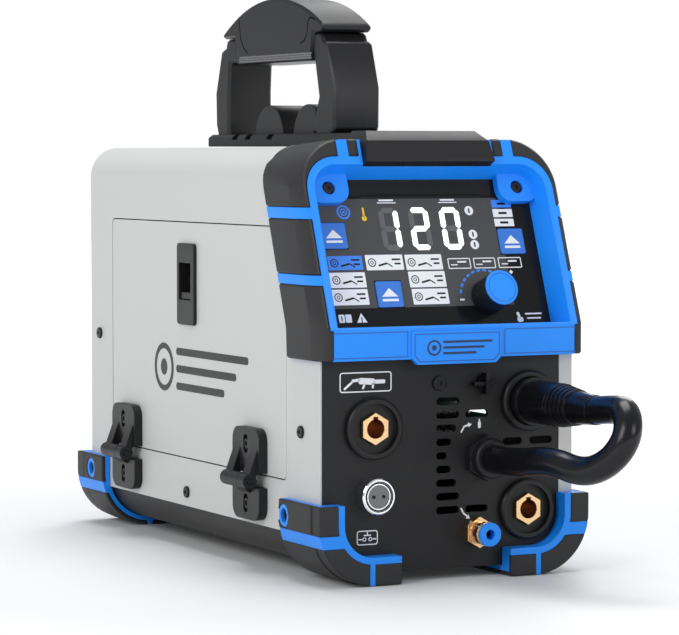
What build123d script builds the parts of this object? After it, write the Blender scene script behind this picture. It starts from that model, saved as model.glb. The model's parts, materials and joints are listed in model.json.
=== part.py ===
"""Portable wire-feed arc welder: sheet-steel case, tilted control hood, side door over the wire bay.

Millimetres, +Z up. The origin is on the floor at the centre of the case footprint.
The front panel faces -Y, the door is on the -X side.
"""

from build123d import *
from math import cos, radians, sin, tan
import os

os.makedirs("parts", exist_ok=True)

# ---------------------------------------------------------------- driving dimensions

CASE_W = 190.0
CASE_D = 398.0
CASE_TOP = 287.0
COVER_BOTTOM = 31.0
TRAY_BOTTOM = 7.0
SHEET = 1.2
TRAY_SHEET = 1.5
PANEL_T = 3.0
COVER_TOP_R = 22.0
TRAY_CORNER_R = 31.0

FRONT = -CASE_D / 2
REAR = CASE_D / 2
SIDE = CASE_W / 2
INNER = SIDE - SHEET - 0.2

# control hood
LEAN = 20.5
HOOD_HALF_W = 99.4
HOOD_BOTTOM = 148.0
HOOD_TOP = 296.4
HOOD_R = 36.0
LIP_Y = FRONT - 11.0
LIP_Z = 169.0
LIP_HALF_W = 95.4
CHAMFER_DEPTH = 13.0
PAD_T = 2.5
PAD_PROUD = 0.6
WINDOW_HALF_W = 87.4
WINDOW_TAPER = 5.0
WINDOW_BOTTOM = 1.0
WINDOW_TOP = 114.0
LENS_DEPTH = 17.0
BEZEL_T = 3.0
BOARD_DEPTH = 26.2
HOOD_BACK = 22.0
NAME_PLATE = ((-34.0, 166.5), (-34.0, 149.0), (-29.3, 144.3), (29.3, 144.3), (34.0, 149.0), (34.0, 166.5))
SCREW_X = 71.5
SCREW_S = 101.5
KEY_W = 19.0
KEY_H = 18.0
KEY_TRAVEL = 0.8
KEYS = {"feed_key": (-71.0, 69.7), "process_key": (-36.7, 28.4), "trigger_key": (63.0, 64.2)}
KNOB_XS = (36.4, 24.6)
KNOB_R = 12.1
KNOB_END = -5.5
KNOB_TRAVEL = 0.6

# door, hinges and latch, Y measured from the case centre
DOOR_Y = (-148.5, 156.5)
DOOR_Z = (65.0, 234.5)
DOOR_GAP = 0.7
HINGE_YS = (-97.0, 120.5)
HINGE_W = 43.0
HINGE_X = -107.0
HINGE_Z = 62.0
HINGE_R = 5.2
PIN_R = 2.2
LATCH_Y = (-1.0, 29.0)
LATCH_Z = (161.0, 219.0)
POCKET_Y = (5.0, 25.0)
POCKET_Z = (179.0, 205.0)
LATCH_TRAVEL = 8.0

# front panel fittings (X, Z)
GUN_XZ = (-56.5, 102.6)
POSITIVE_XZ = (60.3, 117.0)
NEGATIVE_XZ = (59.0, 44.0)
TRIGGER_XZ = (-57.7, 58.7)
GAS_XZ = (20.9, 30.5)
GLAND_XZ = (27.0, 80.0)
SOCKET_R = 20.5
SOCKET_HOLE_R = 17.6
SOCKET_PROUD = 5.0
INSERT_BORE_R = 6.25
INSERT_AF = 18.6

# feet
FOOT_HALF_W = 101.4
FOOT_R = 40.0
FRONT_FOOT_Y = (-12.0, 49.0)
REAR_FOOT_Y = (-14.0, 37.0)
FRONT_FOOT_SCREW = 42.0
REAR_FOOT_SCREW = 14.0
FOOT_SCREW_Z = 43.2
FOOT_TOP = 54.0
FOOT_END_X = 41.0
FOOT_BAND = 18.5

# carrying handle
HANDLE_HALF_W = 18.0
HANDLE_BASE_Z = (288.0, 297.0)

# polarity lead
LEAD_R = 9.3
LEAD_ROUTE = (
    (27.0, -14.0, 80.0),
    (27.0, -45.0, 80.0),
    (30.5, -81.0, 85.5),
    (38.5, -110.0, 78.5),
    (45.0, -132.0, 87.5),
    (52.0, -141.5, 104.0),
    (57.5, -131.5, 119.5),
    (60.3, -111.0, 119.5),
    (60.3, -90.0, 117.0),
)

# screws through both sides of the cover (Y, Z)
SIDE_SCREWS = ((181.0, 146.5), (16.6, 41.2), (-171.0, 99.6))

# wire feeder and spool
WIRE_X = GUN_XZ[0]
WIRE_Z = GUN_XZ[1]
ROLL_Y = -120.0
DRIVE_R = 12.8
PRESS_R = 11.0
ROLL_W = 9.0
ROLL_GAP = 0.6
SHAFT_R = 4.0
RUNNING = 0.06
SPOOL_YZ = (85.0, 150.0)
SPOOL_R = 50.0
SPOOL_X = (-76.0, -32.0)
HUB_R = 8.0
DRIVE_Z = WIRE_Z - DRIVE_R - ROLL_GAP / 2
PRESS_Z = WIRE_Z + PRESS_R + ROLL_GAP / 2
PLATE_X = (-44.0, -40.0)
ROLL_X = (WIRE_X - ROLL_W / 2, WIRE_X + ROLL_W / 2)
PIVOT_Y = -150.0
BOLT_XY = (-49.5, -86.0)

# rear panel fittings (X, Z)
FAN_XZ = (46.0, 105.0)
FAN_SIZE = 80.0
FAN_Y = (REAR - 31.0, REAR - 6.0)
SWITCH_XZ = (-45.0, 238.0)
SWITCH_TILT = 8.0
INLET_XZ = (-68.0, 112.0)
MAINS_XZ = (-46.0, 62.0)


# ---------------------------------------------------------------- helpers


def box(x0, x1, y0, y1, z0, z1):
    return Pos((x0 + x1) / 2, (y0 + y1) / 2, (z0 + z1) / 2) * Box(x1 - x0, y1 - y0, z1 - z0)


def rod(start, direction, radius, length):
    plane = Plane(origin=start, z_dir=direction)
    return plane * Cylinder(radius, length, align=(Align.CENTER, Align.CENTER, Align.MIN))


def rod_x(y, z, radius, x0, x1):
    return rod((x0, y, z), (1, 0, 0), radius, x1 - x0)


def rod_y(x, z, radius, y0, y1):
    return rod((x, y0, z), (0, 1, 0), radius, y1 - y0)


def rod_z(x, y, radius, z0, z1):
    return rod((x, y, z0), (0, 0, 1), radius, z1 - z0)


def yz_prism(points, x0, x1):
    """Closed outline of (y, z) points, extruded along X."""
    return extrude(Plane.YZ.offset(x0) * make_face(Polyline(*points, close=True)), amount=x1 - x0)


def xz_prism(points, y0, y1):
    """Closed outline of (x, z) points, extruded along Y."""
    return extrude(Plane.XZ.offset(-y1) * make_face(Polyline(*points, close=True)), amount=y1 - y0)


def arch_face(half_w, bottom, top, radius):
    """Rectangle with rounded upper corners, drawn on local X and Y."""
    face = Pos(0, (bottom + top) / 2) * Rectangle(2 * half_w, top - bottom)
    return fillet(face.vertices().group_by(Axis.Y)[-1], radius)


def arch_prism(half_w, bottom, top, radius, y0, y1):
    return extrude(Plane.XZ.offset(-y1) * arch_face(half_w, bottom, top, radius), amount=y1 - y0)


def trough_prism(half_w, bottom, top, radius, y0, y1):
    """Like arch_prism with the rounded corners at the bottom."""
    face = Pos(0, (bottom + top) / 2) * Rectangle(2 * half_w, top - bottom)
    face = fillet(face.vertices().group_by(Axis.Y)[0], radius)
    return extrude(Plane.XZ.offset(-y1) * face, amount=y1 - y0)


def hexagon_y(x, z, flats, y0, y1):
    """Hexagonal bar along Y with a point at the top."""
    face = Rot(0, 0, 90) * RegularPolygon(flats / 2, 6, major_radius=False)
    return Pos(x, 0, z) * extrude(Plane.XZ.offset(-y1) * face, amount=y1 - y0)


def mirrored(shape):
    """Copy on the other side of the YZ plane."""
    return mirror(shape, about=Plane.YZ)


def lean_plane(depth=0.0):
    """Plane of the control hood's front lip, moved into the machine by depth."""
    a = radians(LEAN)
    normal = Vector(0, -cos(a), sin(a))
    return Plane(origin=Vector(0, LIP_Y, LIP_Z) - normal * depth, x_dir=(1, 0, 0), z_dir=normal)


def lean_slab(face, depth0, depth1):
    """Face drawn on the lip's local axes, between two depths."""
    return extrude(lean_plane(depth1) * face, amount=depth1 - depth0)


def lean_rod(x, s, radius, depth0, depth1):
    return lean_slab(Pos(x, s) * Circle(radius), depth0, depth1)


def lean_box(x, s, width, height, depth0, depth1, corner=0.0):
    face = RectangleRounded(width, height, corner) if corner else Rectangle(width, height)
    return lean_slab(Pos(x, s) * face, depth0, depth1)


def lean_y(z, depth):
    """Y of the leaning plane at height z."""
    a = radians(LEAN)
    return LIP_Y + (z - LIP_Z) * tan(a) + depth / cos(a)


def keep(name, shape):
    export_step(shape, f"parts/{name}.step")


# ---------------------------------------------------------------- case


def make_base_tray():
    y0 = FRONT + PANEL_T + 0.2
    y1 = REAR - PANEL_T - 0.2
    outer = trough_prism(INNER, TRAY_BOTTOM, 60.0, TRAY_CORNER_R, y0, y1)
    inner = trough_prism(
        INNER - TRAY_SHEET, TRAY_BOTTOM + TRAY_SHEET, 61.0, TRAY_CORNER_R - TRAY_SHEET, y0 - 1, y1 + 1
    )
    return outer - inner - side_screw_holes()


def side_screw_holes():
    """Clearance holes for every screw that enters the case from the left or the right."""
    holes = Part()
    places = list(SIDE_SCREWS)
    places.append((FRONT + FRONT_FOOT_SCREW, FOOT_SCREW_Z))
    places.append((REAR - REAR_FOOT_SCREW, FOOT_SCREW_Z))
    for side in (-1, 1):
        for y, z in places:
            holes += rod_x(y, z, 2.3, side * SIDE - 9, side * SIDE + 9)
    return holes


def make_front_panel():
    outline = trough_prism(INNER, TRAY_BOTTOM, 165.0, TRAY_CORNER_R, FRONT, FRONT + PANEL_T)
    panel = outline & box(-SIDE, 84.6, FRONT - 1, FRONT + 5, 0, 165)
    for x, z in (GUN_XZ, POSITIVE_XZ, NEGATIVE_XZ):
        panel -= rod_y(x, z, SOCKET_HOLE_R + 0.2, FRONT - 1, FRONT + 5)
    panel -= rod_y(*TRIGGER_XZ, 9.7, FRONT - 1, FRONT + 5)
    panel -= rod_y(*GAS_XZ, 6.2, FRONT - 1, FRONT + 5)
    panel -= rod_y(*GLAND_XZ, 10.2, FRONT - 1, FRONT + 5)
    panel -= rod_y(-7.2, 130.8, 2.2, FRONT - 1, FRONT + 5)
    panel -= rod_y(25.0, 129.9, 2.2, FRONT - 1, FRONT + 5)
    for x, z, width in vent_slots():
        slot = SlotOverall(width, 5.0)
        cutter = extrude(Plane.XZ.offset(-(FRONT + 5)) * slot, amount=6)
        panel -= Pos(x, 0, z) * cutter
    return panel


def vent_slots():
    """Centre X, centre Z and width of each cooling slot in the front panel."""
    slots = []
    widths = (17.4, 17.4, 15.0, 11.4, 8.0, 11.0, 15.0, 17.4, 17.4)
    for row, width in enumerate(widths):
        slots.append((-9.2 + width / 2, 118.6 - 9.09 * row, width))
    slots.append((21.4, 109.5, 17.2))
    slots.append((21.4, 45.9, 17.2))
    slots.append((48.7, 90.0, 15.0))
    slots.append((70.7, 90.0, 17.4))
    return slots


def make_rear_panel():
    y0 = REAR - PANEL_T
    arch = arch_prism(INNER, TRAY_BOTTOM, CASE_TOP - SHEET - 0.2, COVER_TOP_R - SHEET, y0, REAR)
    panel = arch & trough_prism(INNER, TRAY_BOTTOM, CASE_TOP, TRAY_CORNER_R, y0, REAR)
    panel -= rod_y(*FAN_XZ, 37.5, y0 - 1, REAR + 1)
    x, z = SWITCH_XZ
    panel -= box(x - 14.4, x + 14.4, y0 - 1, REAR + 1, z - 11.4, z + 11.4)
    panel -= rod_y(*INLET_XZ, 5.2, y0 - 1, REAR + 1)
    panel -= rod_y(*MAINS_XZ, 10.2, y0 - 1, REAR + 1)
    for row in range(5):
        slot = extrude(Plane.XZ.offset(-(REAR + 1)) * SlotOverall(60, 4.5), amount=6)
        panel -= Pos(46, 0, 180 + 10 * row) * slot
    for x in (-80, 80):
        panel -= rod_y(x, 262, 2.2, y0 - 1, REAR + 1)
    return panel


def make_main_cover():
    outer = arch_prism(SIDE, COVER_BOTTOM, CASE_TOP, COVER_TOP_R, FRONT, REAR)
    inner = arch_prism(
        SIDE - SHEET, COVER_BOTTOM - 1, CASE_TOP - SHEET, COVER_TOP_R - SHEET, FRONT - 1, REAR + 1
    )
    cover = outer - inner
    y_low = lean_y(150, 27)
    y_high = lean_y(300, 27)
    cover -= yz_prism(
        [(FRONT - 5, 150), (y_low, 150), (y_high, 300), (FRONT - 5, 300)], -SIDE - 5, SIDE + 5
    )
    opening = yz_prism(
        [(DOOR_Y[0], DOOR_Z[0]), (DOOR_Y[1], DOOR_Z[0]), (DOOR_Y[1], DOOR_Z[1]), (DOOR_Y[0], DOOR_Z[1])],
        -SIDE - 5, -SIDE + 5,
    )
    opening = fillet(opening.edges().filter_by(Axis.X), 5.0)
    cover -= opening
    cover += box(84.8, SIDE - 0.4, FRONT, FRONT + SHEET, 33, 149)
    for row in range(8):
        slot = extrude(Plane.YZ.offset(SIDE - 5) * SlotOverall(46, 4.5), amount=10)
        cover -= Pos(0, -60, 90 + 10 * row) * slot
        cover -= Pos(0, 60, 90 + 10 * row) * slot
    return cover - side_screw_holes()


def make_divider():
    plate = box(0, SHEET, FRONT + 30, REAR - 33, TRAY_BOTTOM + TRAY_SHEET + 0.2, CASE_TOP - 4)
    plate -= yz_prism([(-230, 150), (lean_y(150, 34), 150), (lean_y(300, 34), 300), (-230, 300)], -5, 5)
    y, z = ROLL_Y, WIRE_Z - DRIVE_R - ROLL_GAP / 2
    plate -= rod_x(y, z, 19.0, -5, 5)
    return plate


# ---------------------------------------------------------------- door


def make_door():
    g = DOOR_GAP
    y0, y1 = DOOR_Y[0] + g, DOOR_Y[1] - g
    z0, z1 = DOOR_Z[0] + g, DOOR_Z[1] - g
    skin = box(-SIDE, -SIDE + SHEET, y0, y1, z0, z1)
    skin = fillet(skin.edges().filter_by(Axis.X), 4.5)
    lip = box(-SIDE + SHEET, -SIDE + 6, y0 + 3, y1 - 3, z0 + 3, z1 - 3)
    lip -= box(-SIDE, -SIDE + 8, y0 + 4.2, y1 - 4.2, z0 + 4.2, z1 - 4.2)
    door = skin + lip
    door -= box(
        -SIDE - 1, -SIDE + 3, POCKET_Y[0] - 1.4, POCKET_Y[1] + 1.4, POCKET_Z[0] - 1.4, POCKET_Z[1] + 1.4
    )
    return door


def make_latch_housing():
    bezel = box(-SIDE - 2.6, -SIDE - 0.05, *LATCH_Y, *LATCH_Z)
    bezel = fillet(bezel.edges().filter_by(Axis.X), 3.0)
    tub = box(
        -SIDE - 0.5, -SIDE + 10, POCKET_Y[0] - 1.2, POCKET_Y[1] + 1.2, POCKET_Z[0] - 1.2, POCKET_Z[1] + 1.2
    )
    housing = bezel + tub
    return housing - box(-SIDE - 3, -SIDE + 8.8, *POCKET_Y, *POCKET_Z)


def make_latch_slider():
    """Finger ledge that is pushed up against its spring."""
    y0, y1 = POCKET_Y[0] + 0.3, POCKET_Y[1] - 0.3
    z0 = POCKET_Z[0] + 0.3
    ledge = box(-SIDE - 1.4, -SIDE + 6.8, y0, y1, z0, z0 + 5)
    back = box(-SIDE + 5.4, -SIDE + 8.4, y0, y1, z0, z0 + 16)
    return ledge + back


def hinge_leaf(y_mid, upper):
    """One leaf; the upper one has two outer knuckles, the lower one a middle knuckle."""
    y0, y1 = y_mid - HINGE_W / 2, y_mid + HINGE_W / 2
    x_out, x_in = -SIDE - 6.5, -SIDE - 0.1
    z_near = HINGE_Z + 5.0 if upper else HINGE_Z - 5.0
    z_far = 97.0 if upper else 34.5
    z_low, z_high = min(z_near, z_far), max(z_near, z_far)
    plate = box(x_out, x_in, y0, y1, z_low, z_high)
    far = plate.edges().filter_by(Axis.X).group_by(Axis.Z)[-1 if upper else 0]
    plate = fillet(far, 9.0)
    hole_z = 86.0 if upper else 45.4
    slot = Rot(0, 0, 90) * SlotOverall(13, 7)
    plate -= Pos(0, y_mid, hole_z) * extrude(Plane.YZ.offset(x_out - 1) * slot, amount=3.4)
    plate -= rod_x(y_mid, hole_z, 2.2, x_out - 1, x_in + 1)
    step = 1 if upper else -1
    reach = 24.0 if upper else 9.5
    arm = [
        (HINGE_X - 0.5, HINGE_Z + step * HINGE_R),
        (HINGE_X + 2.5, HINGE_Z + step * 1.0),
        (x_out + 1, HINGE_Z + step * 5.0),
        (x_out + 1, HINGE_Z + step * reach),
    ]
    if upper:
        spans = ((y0 + 2.5, y0 + 13), (y1 - 13, y1 - 2.5))
    else:
        spans = ((y0 + 13.4, y1 - 13.4),)
    leaf = plate
    for a, b in spans:
        leaf += xz_prism(arm, a, b) + rod_y(HINGE_X, HINGE_Z, HINGE_R, a, b)
    bore = PIN_R + RUNNING
    return leaf - rod_y(HINGE_X, HINGE_Z, bore, y0, y1)


def make_hinge_pins():
    pins = Part()
    for y in HINGE_YS:
        pins += rod_y(HINGE_X, HINGE_Z, PIN_R, y - HINGE_W / 2 + 1.5, y + HINGE_W / 2 - 1.5)
    return pins


# ---------------------------------------------------------------- control hood


def hood_body(grow):
    """Outer shape of the hood: an arch that leans back, with a chamfered front rim."""
    y_back_top = FRONT + 80
    block = arch_prism(HOOD_HALF_W + grow, HOOD_BOTTOM, HOOD_TOP + grow, HOOD_R + grow, LIP_Y - 40, y_back_top)
    rise = tan(radians(LEAN))
    side = [
        (LIP_Y - 5, HOOD_BOTTOM), (FRONT + 41, HOOD_BOTTOM), (FRONT + 42.4, 168),
        (FRONT + 77, 259), (FRONT + 79.5, 268), (FRONT + 79.5, 310), (LIP_Y + 141 * rise - 5, 310), (LIP_Y - 5, 169),
    ]
    block &= yz_prism(side, -120, 120)
    spread = (HOOD_HALF_W - LIP_HALF_W) / CHAMFER_DEPTH
    far = 110.0
    faces = []
    for depth in (-grow, far):
        half = LIP_HALF_W + grow * 0.7 + spread * depth
        top = 131.5 + grow * 0.7 + spread * depth
        faces.append(lean_plane(depth) * arch_face(half, -60.0, top, 34 + spread * depth))
    upper = loft(faces, ruled=True) & box(-120, 120, -400, 200, LIP_Z, 320)
    low_faces = []
    for y in (LIP_Y - grow, LIP_Y + far):
        half = LIP_HALF_W + grow * 0.7 + spread * cos(radians(LEAN)) * (y - LIP_Y)
        low_faces.append(Plane.XZ.offset(-y) * Pos(0, 160) * Rectangle(2 * half, 60))
    lower = loft(low_faces, ruled=True) & box(-120, 120, -400, 200, 100, LIP_Z)
    return (block & upper) + (block & lower)


def case_space():
    """Room that the case takes inside the hood."""
    room = arch_prism(SIDE + 0.3, 100, CASE_TOP + 0.4, COVER_TOP_R + 0.3, FRONT - 0.2, FRONT + 120)
    y_mid = lean_y(166, HOOD_BACK)
    y_top = lean_y(300, HOOD_BACK)
    side = [(FRONT - 0.2, 100), (FRONT + 200, 100), (FRONT + 200, 300), (y_top, 300), (y_mid, 166), (FRONT - 0.2, 166)]
    return room & yz_prism(side, -120, 120)


def window_space():
    """Recess in front of the display, and the pocket that its plate sits in."""
    wide = window_face(0.0)
    narrow = window_face(-WINDOW_TAPER)
    mouth = loft([lean_plane(0) * wide, lean_plane(LENS_DEPTH) * narrow], ruled=True)
    mouth += lean_slab(wide, -30, 0)
    return mouth + lean_slab(window_face(1.6), LENS_DEPTH, HOOD_BACK + 40)


def window_face(grow):
    height = WINDOW_TOP - WINDOW_BOTTOM + 2 * grow
    mid = (WINDOW_TOP + WINDOW_BOTTOM) / 2
    return arch_face(WINDOW_HALF_W + grow, mid - height / 2, mid + height / 2, 18 + grow)


def corner_bosses():
    """Raised corners of the recess that hold the hood screws."""
    bosses = Part()
    for side in (-1, 1):
        face = Pos(side * 72, 104) * RectangleRounded(30, 26, 9)
        boss = lean_slab(face, LENS_DEPTH - 6, LENS_DEPTH) & lean_slab(window_face(0.6), 0, 40)
        boss -= lean_rod(side * SCREW_X, SCREW_S, 4.6, 0, LENS_DEPTH - 1.5)
        bosses += boss - lean_rod(side * SCREW_X, SCREW_S, 2.1, 0, 40)
    return bosses


def bar_profile(grow):
    """Side outline (Y, Z) of the top bar."""
    g = grow
    return [
        (FRONT + 26 - g, 274.5 - g), (FRONT + 24 - g, 278), (FRONT + 29 - g, 291.5 + g),
        (FRONT + 40, 298 + g), (FRONT + 60 + g, 298 + g), (FRONT + 60 + g, 274.5 - g),
    ]


def make_top_bar():
    bar = yz_prism(bar_profile(0), -48.5, 48.5)
    ends = xz_prism(
        [(-48.5, 270), (48.5, 270), (48.5, 279), (46.5, 291), (41, 299), (-41, 299), (-46.5, 291), (-48.5, 279)],
        FRONT, FRONT + 70,
    )
    bar &= ends
    bar -= case_space()
    return bar - window_space()


def pad_zone_solids():
    """Slabs of space that the hood pads fill on the left, from the top corner to the foot."""
    def slab(z0, z1, x0, x1):
        return box(x0, x1, FRONT - 40, FRONT + 120, z0, z1)

    rim = lean_slab(window_face(5.5), -30, 200) & box(-120, 120, -400, 300, LIP_Z - 1, 320)
    rim += box(-90.4, 90.4, -400, FRONT + 5, 100, LIP_Z - 1)
    corner = slab(247.5, 320, -130, -66.5)
    middle = slab(203.5, 240.0, -130, -60)
    foot = slab(100, 197.0, -130, -60)
    small = slab(270, 320, -58.5, -51.0)
    zones = []
    for zone in (corner, middle, foot, small):
        zones.append(zone - rim)
    return zones


def make_hood():
    """Blue frame, black pads let into its outside, and the bar across its top."""
    outer = hood_body(0.0)
    frame = outer - case_space() - window_space()
    frame += corner_bosses()
    frame += xz_prism(NAME_PLATE, LIP_Y - 1.2, LIP_Y + 3)
    frame -= yz_prism(bar_profile(0.3), -48.8, 48.8)
    proud = hood_body(PAD_PROUD) - case_space() - window_space()
    layer = proud - hood_body(-PAD_T)
    pads = Part()
    for zone in pad_zone_solids():
        for piece in (layer & zone, mirrored(layer & zone)):
            pads += piece
    frame -= pads
    return frame, pads


def make_display():
    """Display plate with key windows, its circuit board and the three keys."""
    bezel = lean_slab(window_face(1.4), LENS_DEPTH, LENS_DEPTH + BEZEL_T)
    board = lean_box(0, 55, 160, 100, BOARD_DEPTH, BOARD_DEPTH + 1.6)
    keys = {}
    for name, (x, s) in KEYS.items():
        bezel -= lean_box(x, s, KEY_W + 0.6, KEY_H + 0.6, 0, 40, 1.5)
        cap = lean_box(x, s, KEY_W, KEY_H, LENS_DEPTH - KEY_TRAVEL, LENS_DEPTH + BEZEL_T + 1.2, 1.3)
        flange = lean_box(
            x, s, KEY_W + 3, KEY_H + 3, LENS_DEPTH + BEZEL_T + 0.2, LENS_DEPTH + BEZEL_T + 1.2
        )
        keys[name] = cap + flange
        board += lean_box(x, s, 10, 10, LENS_DEPTH + BEZEL_T + 2.4, BOARD_DEPTH)
    for side in (-1, 1):
        bezel -= lean_rod(side * SCREW_X, SCREW_S, 2.2, 0, 40)
    x, s = KNOB_XS
    bezel -= lean_rod(x, s, 4.7, 0, 40)
    board -= lean_rod(x, s, 4.2, 0, 60)
    return bezel, board, keys


def make_knob():
    """Push-and-turn control: bushing, sliding shaft, knob body and its coloured cap."""
    x, s = KNOB_XS
    base = LENS_DEPTH - 1.0
    encoder = lean_rod(x, s, 4.5, base - 3, LENS_DEPTH + BEZEL_T + 0.1)
    encoder += lean_box(x, s, 12, 12, LENS_DEPTH + BEZEL_T + 0.1, BOARD_DEPTH - 0.1)
    encoder -= lean_rod(x, s, 3.0 + RUNNING, 0, 40)
    shaft = lean_rod(x, s, 3.0, 2, BOARD_DEPTH + 3)
    body = lean_rod(x, s, KNOB_R, KNOB_END + 1.6, base)
    body -= lean_rod(x, s, 5.6, base - 4.2, base + 1)
    body -= lean_rod(x, s, 3.0 + RUNNING, 1.4, base + 1)
    cap = lean_rod(x, s, KNOB_R - 0.1, KNOB_END, KNOB_END + 1.6)
    return encoder, shaft, body, cap


# ---------------------------------------------------------------- feet


def foot_outline(grow, inner):
    """J-shaped front view of a left foot: outer edge grown, inner edge moved in by inner."""
    hw, r = FOOT_HALF_W + grow, FOOT_R + grow
    floor = PAD_PROUD - grow
    band = FOOT_BAND - inner
    cx = -FOOT_HALF_W + FOOT_R
    cz = PAD_PROUD + FOOT_R
    r_in = FOOT_R - band
    diag = cos(radians(45))
    outer_arc = ThreePointArc((-hw, cz), (cx - r * diag, cz - r * diag), (cx, floor))
    inner_arc = ThreePointArc((cx, cz - r_in), (cx - r_in * diag, cz - r_in * diag), (cx - r_in, cz))
    lines = [
        Line((-hw, FOOT_TOP), (-hw, cz)),
        outer_arc,
        Line((cx, floor), (-FOOT_END_X, floor)),
        Line((-FOOT_END_X, floor), (-FOOT_END_X, cz - r_in)),
        Line((-FOOT_END_X, cz - r_in), (cx, cz - r_in)),
        inner_arc,
        Line((cx - r_in, cz), (cx - r_in, FOOT_TOP)),
        Line((cx - r_in, FOOT_TOP), (-hw, FOOT_TOP)),
    ]
    return make_face(lines)


def foot_block(grow, span):
    """Shoe round the lower front left corner of the case; span is its Y range from the panel."""
    y0 = FRONT + span[0] - grow
    y1 = FRONT + span[1]
    shoe = extrude(Plane.XZ.offset(-y1) * foot_outline(grow, 0.0), amount=y1 - y0)
    room = trough_prism(SIDE + 0.3, TRAY_BOTTOM - 0.2, 80, TRAY_CORNER_R + 1.3, FRONT - 0.2, FRONT + 100)
    room += box(-SIDE - 0.3, 0, FRONT - 0.2, FRONT + 100, COVER_BOTTOM - 0.3, 80)
    return shoe - room


def foot_zones():
    """Slabs for the side pad, the curved pad and the foot pad of a left foot."""
    strip = Plane.XZ.offset(-(FRONT - 0.5)) * foot_outline(0.0, 4.6)
    allowed = extrude(strip, amount=30) + box(-130, 0, FRONT - 0.5, FRONT + 80, -5, 80)
    side_pad = box(-130, -70, FRONT - 30, FRONT + 80, 34.5, FOOT_TOP + 2)
    curved = box(-130, -64.5, FRONT - 30, FRONT + 80, -5, 26)
    under = box(-60.5, -30, FRONT - 30, FRONT + 80, -5, 26)
    return [zone & allowed for zone in (side_pad, curved, under)]


def make_left_foot(span, screw_y):
    """Blue shoe and its black pads, as they are at the front left corner."""
    block = foot_block(0.0, span)
    grown = foot_block(PAD_PROUD, span) & box(-130, 0, -300, 0, -5, FOOT_TOP)
    layer = grown - foot_block(-PAD_T, span)
    pads = Part()
    for zone in foot_zones():
        pads += layer & zone
    y = FRONT + screw_y
    pads -= rod_x(y, FOOT_SCREW_Z, 7.5, -130, -90)
    block -= pads
    hole = rod_x(y, FOOT_SCREW_Z, 4.8, -130, -SIDE - 2.6)
    hole += rod_x(y, FOOT_SCREW_Z, 2.3, -130, -80)
    return block - hole, pads


def make_feet():
    """Front pair and rear pair of shoes, and all their pads."""
    block, pads = make_left_foot(FRONT_FOOT_Y, FRONT_FOOT_SCREW)
    front = block + mirrored(block)
    all_pads = pads + mirrored(pads)
    block, pads = make_left_foot(REAR_FOOT_Y, REAR_FOOT_SCREW)
    rear = mirror(block + mirrored(block), about=Plane.XZ)
    all_pads += mirror(pads + mirrored(pads), about=Plane.XZ)
    return front, rear, all_pads


# ---------------------------------------------------------------- fasteners


def pan_screw(point, inward, head_r=4.2, head_h=1.8, shank=8.0):
    """Pan-head screw whose head stands on point and whose shank runs inward."""
    outward = Vector(*inward) * -1
    screw = rod(point, outward, head_r, head_h)
    screw = fillet(screw.edges().sort_by(lambda e: (e.center() - Vector(*point)).length)[-1], 0.8)
    screw += rod(point, inward, 2.0, shank)
    screw -= rod(Vector(*point) + outward * head_h, inward, 1.4, 1.0)
    return screw


def make_screws():
    screws = Part()
    for side in (-1, 1):
        inward = (-side, 0, 0)
        for y, z in SIDE_SCREWS:
            screws += pan_screw((side * (SIDE + 0.05), y, z), inward)
        for y in (FRONT + FRONT_FOOT_SCREW, REAR - REAR_FOOT_SCREW):
            screws += pan_screw((side * (SIDE + 2.65), y, FOOT_SCREW_Z), inward)
        screws += pan_screw((side * 80, REAR + 0.05, 262), (0, -1, 0))
        plane = lean_plane(LENS_DEPTH - 1.6)
        point = plane.from_local_coords(Vector(side * SCREW_X, SCREW_S, 0))
        screws += pan_screw(point, plane.z_dir * -1, 3.9, 3.6, 9.0)
    screws += pan_screw((-7.2, FRONT - 0.05, 130.8), (0, 1, 0), 5.0)
    return screws + make_thumb_screw()


def make_thumb_screw():
    """Winged screw that holds the panel's upper edge."""
    x, z = 25.0, 129.9
    y = FRONT - 0.05
    screw = rod_y(x, z, 4.5, y - 3, y)
    screw += box(x - 9, x + 9, y - 7, y - 2, z - 1.3, z + 1.3)
    screw += box(x - 1.3, x + 1.3, y - 9, y - 2, z - 7, z + 7)
    return screw + rod_y(x, z, 2.0, y, y + 8)


# ---------------------------------------------------------------- handle


def make_handle_base():
    z0, z1 = HANDLE_BASE_Z
    base = box(-24, 24, FRONT + 84, FRONT + 337, z0, z1)
    base = chamfer(base.edges().group_by(Axis.Z)[-1], 2.5)
    for y in (185.0, 250.0):
        lug = rod_x(FRONT + y, z1 - 3, 24.0, -14, 14)
        base += lug & box(-20, 20, FRONT + 172.6, REAR + 50, z1 - 0.5, 340)
    for y in (225.0, 262.0, 285.0):
        base -= box(-26, -17, FRONT + y, FRONT + y + 9, z1 - 4, z1 + 1)
    return base - handle_sockets()


def handle_sockets():
    """Two pockets in the base that take the handle's posts."""
    z = HANDLE_BASE_Z[0] + 2
    front = box(-HANDLE_HALF_W - 0.2, HANDLE_HALF_W + 0.2, FRONT + 139.8, FRONT + 165.2, z, 340)
    rear = box(-HANDLE_HALF_W - 0.2, HANDLE_HALF_W + 0.2, FRONT + 310.8, FRONT + 333.2, z, 340)
    return front + rear


def handle_point(y, z):
    return (FRONT + y, z)


def make_handle_frame():
    """Two posts and the bar between them, that the grip cover closes over."""
    z = HANDLE_BASE_Z[0] + 2.2
    top = HANDLE_BASE_Z[1] + 0.2
    front = [
        (140, z), (165, z), (165, top), (172, top), (160, 323), (167, 350), (300, 351),
        (311, 350), (313, 330), (313, top), (311, top), (311, z), (333, z), (333, top), (336, 304),
        (337, 328), (326, 360), (318, 362), (316, 368), (155, 368), (152, 362), (146, 361),
        (134.6, 329), (135, top + 4), (137, top), (140, top),
    ]
    frame = yz_prism([handle_point(y, z) for y, z in front], -HANDLE_HALF_W, HANDLE_HALF_W)
    return frame - grip_space(0.2)


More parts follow.
